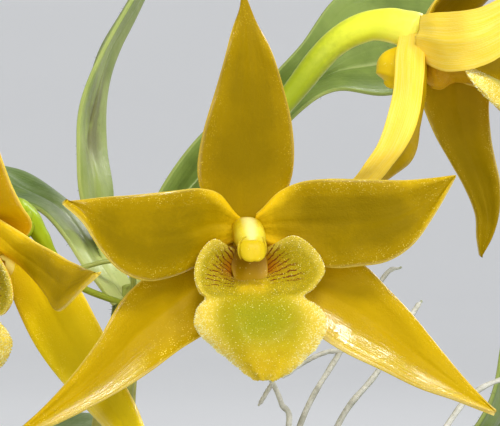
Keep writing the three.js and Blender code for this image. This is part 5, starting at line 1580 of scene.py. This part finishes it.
def rounded(corners, radius, cuts=7):
    """A profile with its corners rounded."""
    corners = np.asarray(corners, float)
    out = [corners[0]]
    for before, at, after in zip(corners, corners[1:], corners[2:]):
        a, b = unit(before - at), unit(after - at)
        reach = min(radius, 0.45 * np.linalg.norm(before - at), 0.45 * np.linalg.norm(after - at))
        for t in np.linspace(0, 1, cuts):
            out.append((at + a * reach) * (1 - t) ** 2 + at * 2 * t * (1 - t) + (at + b * reach) * t * t)
    out.append(corners[-1])
    return out


def refined(profile, longest):
    """A profile with its long runs cut up."""
    out = [profile[0]]
    for a, b in zip(profile, profile[1:]):
        cuts = max(1, int(np.linalg.norm(np.subtract(b, a)) / longest))
        out += [np.asarray(a) + (np.asarray(b) - a) * k / cuts for k in range(1, cuts + 1)]
    return out


points, quads = lathe(refined(rounded([
    [0.01, 0], [POT_FOOT_RADIUS, 0], [POT_NECK_RADIUS, shoulder], [POT_RIM_RADIUS, shoulder + 1],
    [POT_RIM_RADIUS, POT_HEIGHT], [inner_top, POT_HEIGHT], [inner_top - 3, shoulder],
    [inner_floor, POT_FLOOR], [0.01, POT_FLOOR],
], 1.4), 1.9), POT_SIDES)
x, y, z = (points[..., k] for k in range(3))
turning = 0.05 * np.sin(z * 2.3) + 0.04 * np.sin(z * 5.1 + 1)
wobble = 0.1 * ripple(points, 30.0, 12) + 0.05 * ripple(points, 6.0, 13)
relief = (turning + wobble - 0.12) * step(0, 3, z) * step(3, 8, np.hypot(x, y))
points = points + unit(points * [1, 1, 0]) * relief[..., None]
pot = Form()
pot.add(points, quads)
pot_piece = pot.piece("pot_fine", CLAY, "clay", "pot")
drills = Form()
for number in range(DRAIN_HOLES):
    centre = polar(DRAIN_REACH, number / DRAIN_HOLES * 2 * math.pi + math.pi / 6, 0)[:2]
    angles = circle(POT_SIDES)[::5]
    ring = [polar(DRAIN_RADIUS, a, z, centre) for z in DRAIN_SPAN for a in angles]
    caps = [[*centre, z] for z in DRAIN_SPAN]
    count = len(angles)
    j = np.arange(count)
    k = (j + 1) % count
    drills.add(ring + caps, np.stack([j, k, k + count, j + count], -1), end_fans(2, count))
drill = drills.piece("drills", CLAY, "clay")
holes = pot_piece.modifiers.new("holes", "BOOLEAN")
holes.operation = "DIFFERENCE"
holes.object = drill
holes.solver = "EXACT"
whole = bpy.data.meshes.new_from_object(pot_piece.evaluated_get(bpy.context.evaluated_depsgraph_get()))
pot_piece.modifiers.clear()
pot_piece.data = whole
bpy.data.objects.remove(drill)


# Stage, in metres: a pale floor that rises all round into a backdrop, and soft lights

FLAT_RADIUS = 2.4
SWEEP_RADIUS = 1.6
BACKDROP_TOP = 2.4

sweep = [[r, 0] for r in (0.001, 0.2, 0.8, 1.6, FLAT_RADIUS)]
for a in np.linspace(0, math.pi / 2, 24)[1:]:
    sweep.append([FLAT_RADIUS + SWEEP_RADIUS * math.sin(a), SWEEP_RADIUS * (1 - math.cos(a))])
points, quads = lathe(sweep + [[FLAT_RADIUS + SWEEP_RADIUS, BACKDROP_TOP]], 96)
floor_mesh = bpy.data.meshes.new("floor")
floor_mesh.from_pydata(points.reshape(-1, 3).tolist(), [], quads.tolist())
floor_mesh.polygons.foreach_set("use_smooth", np.ones(len(quads), bool))
floor = bpy.data.objects.new("floor", floor_mesh)
f = Finish("pale_floor", Roughness=0.9)
x, y, _ = f.split(f.place())
# Its own light grows with the distance, so that the backdrop is even
away = f.math("SQRT", f.total(f.times(x, x), f.times(y, y)))
f.join(f.fit(away, 250.0, 1400.0, 0.03, 0.34), f.surface.inputs["Emission Strength"])
f.surface.inputs["Emission Color"].default_value = (0.97, 0.98, 1, 1)
mottle = f.noise(f.place(), 0.004)
floor_mesh.materials.append(f.finish(f.mix(mottle, (0.6, 0.61, 0.62, 1), (0.64, 0.65, 0.66, 1))))
bpy.context.scene.collection.objects.link(floor)

world = bpy.data.worlds.new("studio")
world.use_nodes = True
world.node_tree.nodes["Background"].inputs[0].default_value = (0.95, 0.97, 1.0, 1)
world.node_tree.nodes["Background"].inputs[1].default_value = 0.22
bpy.context.scene.world = world


def area_light(name, place, aim, size, power, shade=(1, 1, 1)):
    data = bpy.data.lights.new(name, "AREA")
    data.shape = "RECTANGLE"
    data.size, data.size_y = size
    data.energy = power
    data.color = shade
    lamp = bpy.data.objects.new(name, data)
    lamp.location = place
    way = np.array(aim, float) - np.array(place, float)
    lamp.rotation_euler = Vector(way).to_track_quat("-Z", "Y").to_euler()
    bpy.context.scene.collection.objects.link(lamp)


area_light("key_left", (0.08, -0.68, 0.82), (0, 0, 0.13), (0.26, 0.16), 4.2, (1, 0.98, 0.95))
area_light("key_right", (0.5, -0.55, 0.765), (0, 0, 0.13), (0.26, 0.16), 3.6, (1, 0.98, 0.95))
area_light("front", (-0.12, -1.1, 0.42), (0, 0, 0.12), (0.8, 0.6), 3.4, (1, 0.99, 0.97))
area_light("back", (0.5, 0.6, 0.75), (0, 0, 0.13), (0.5, 0.5), 6.5)
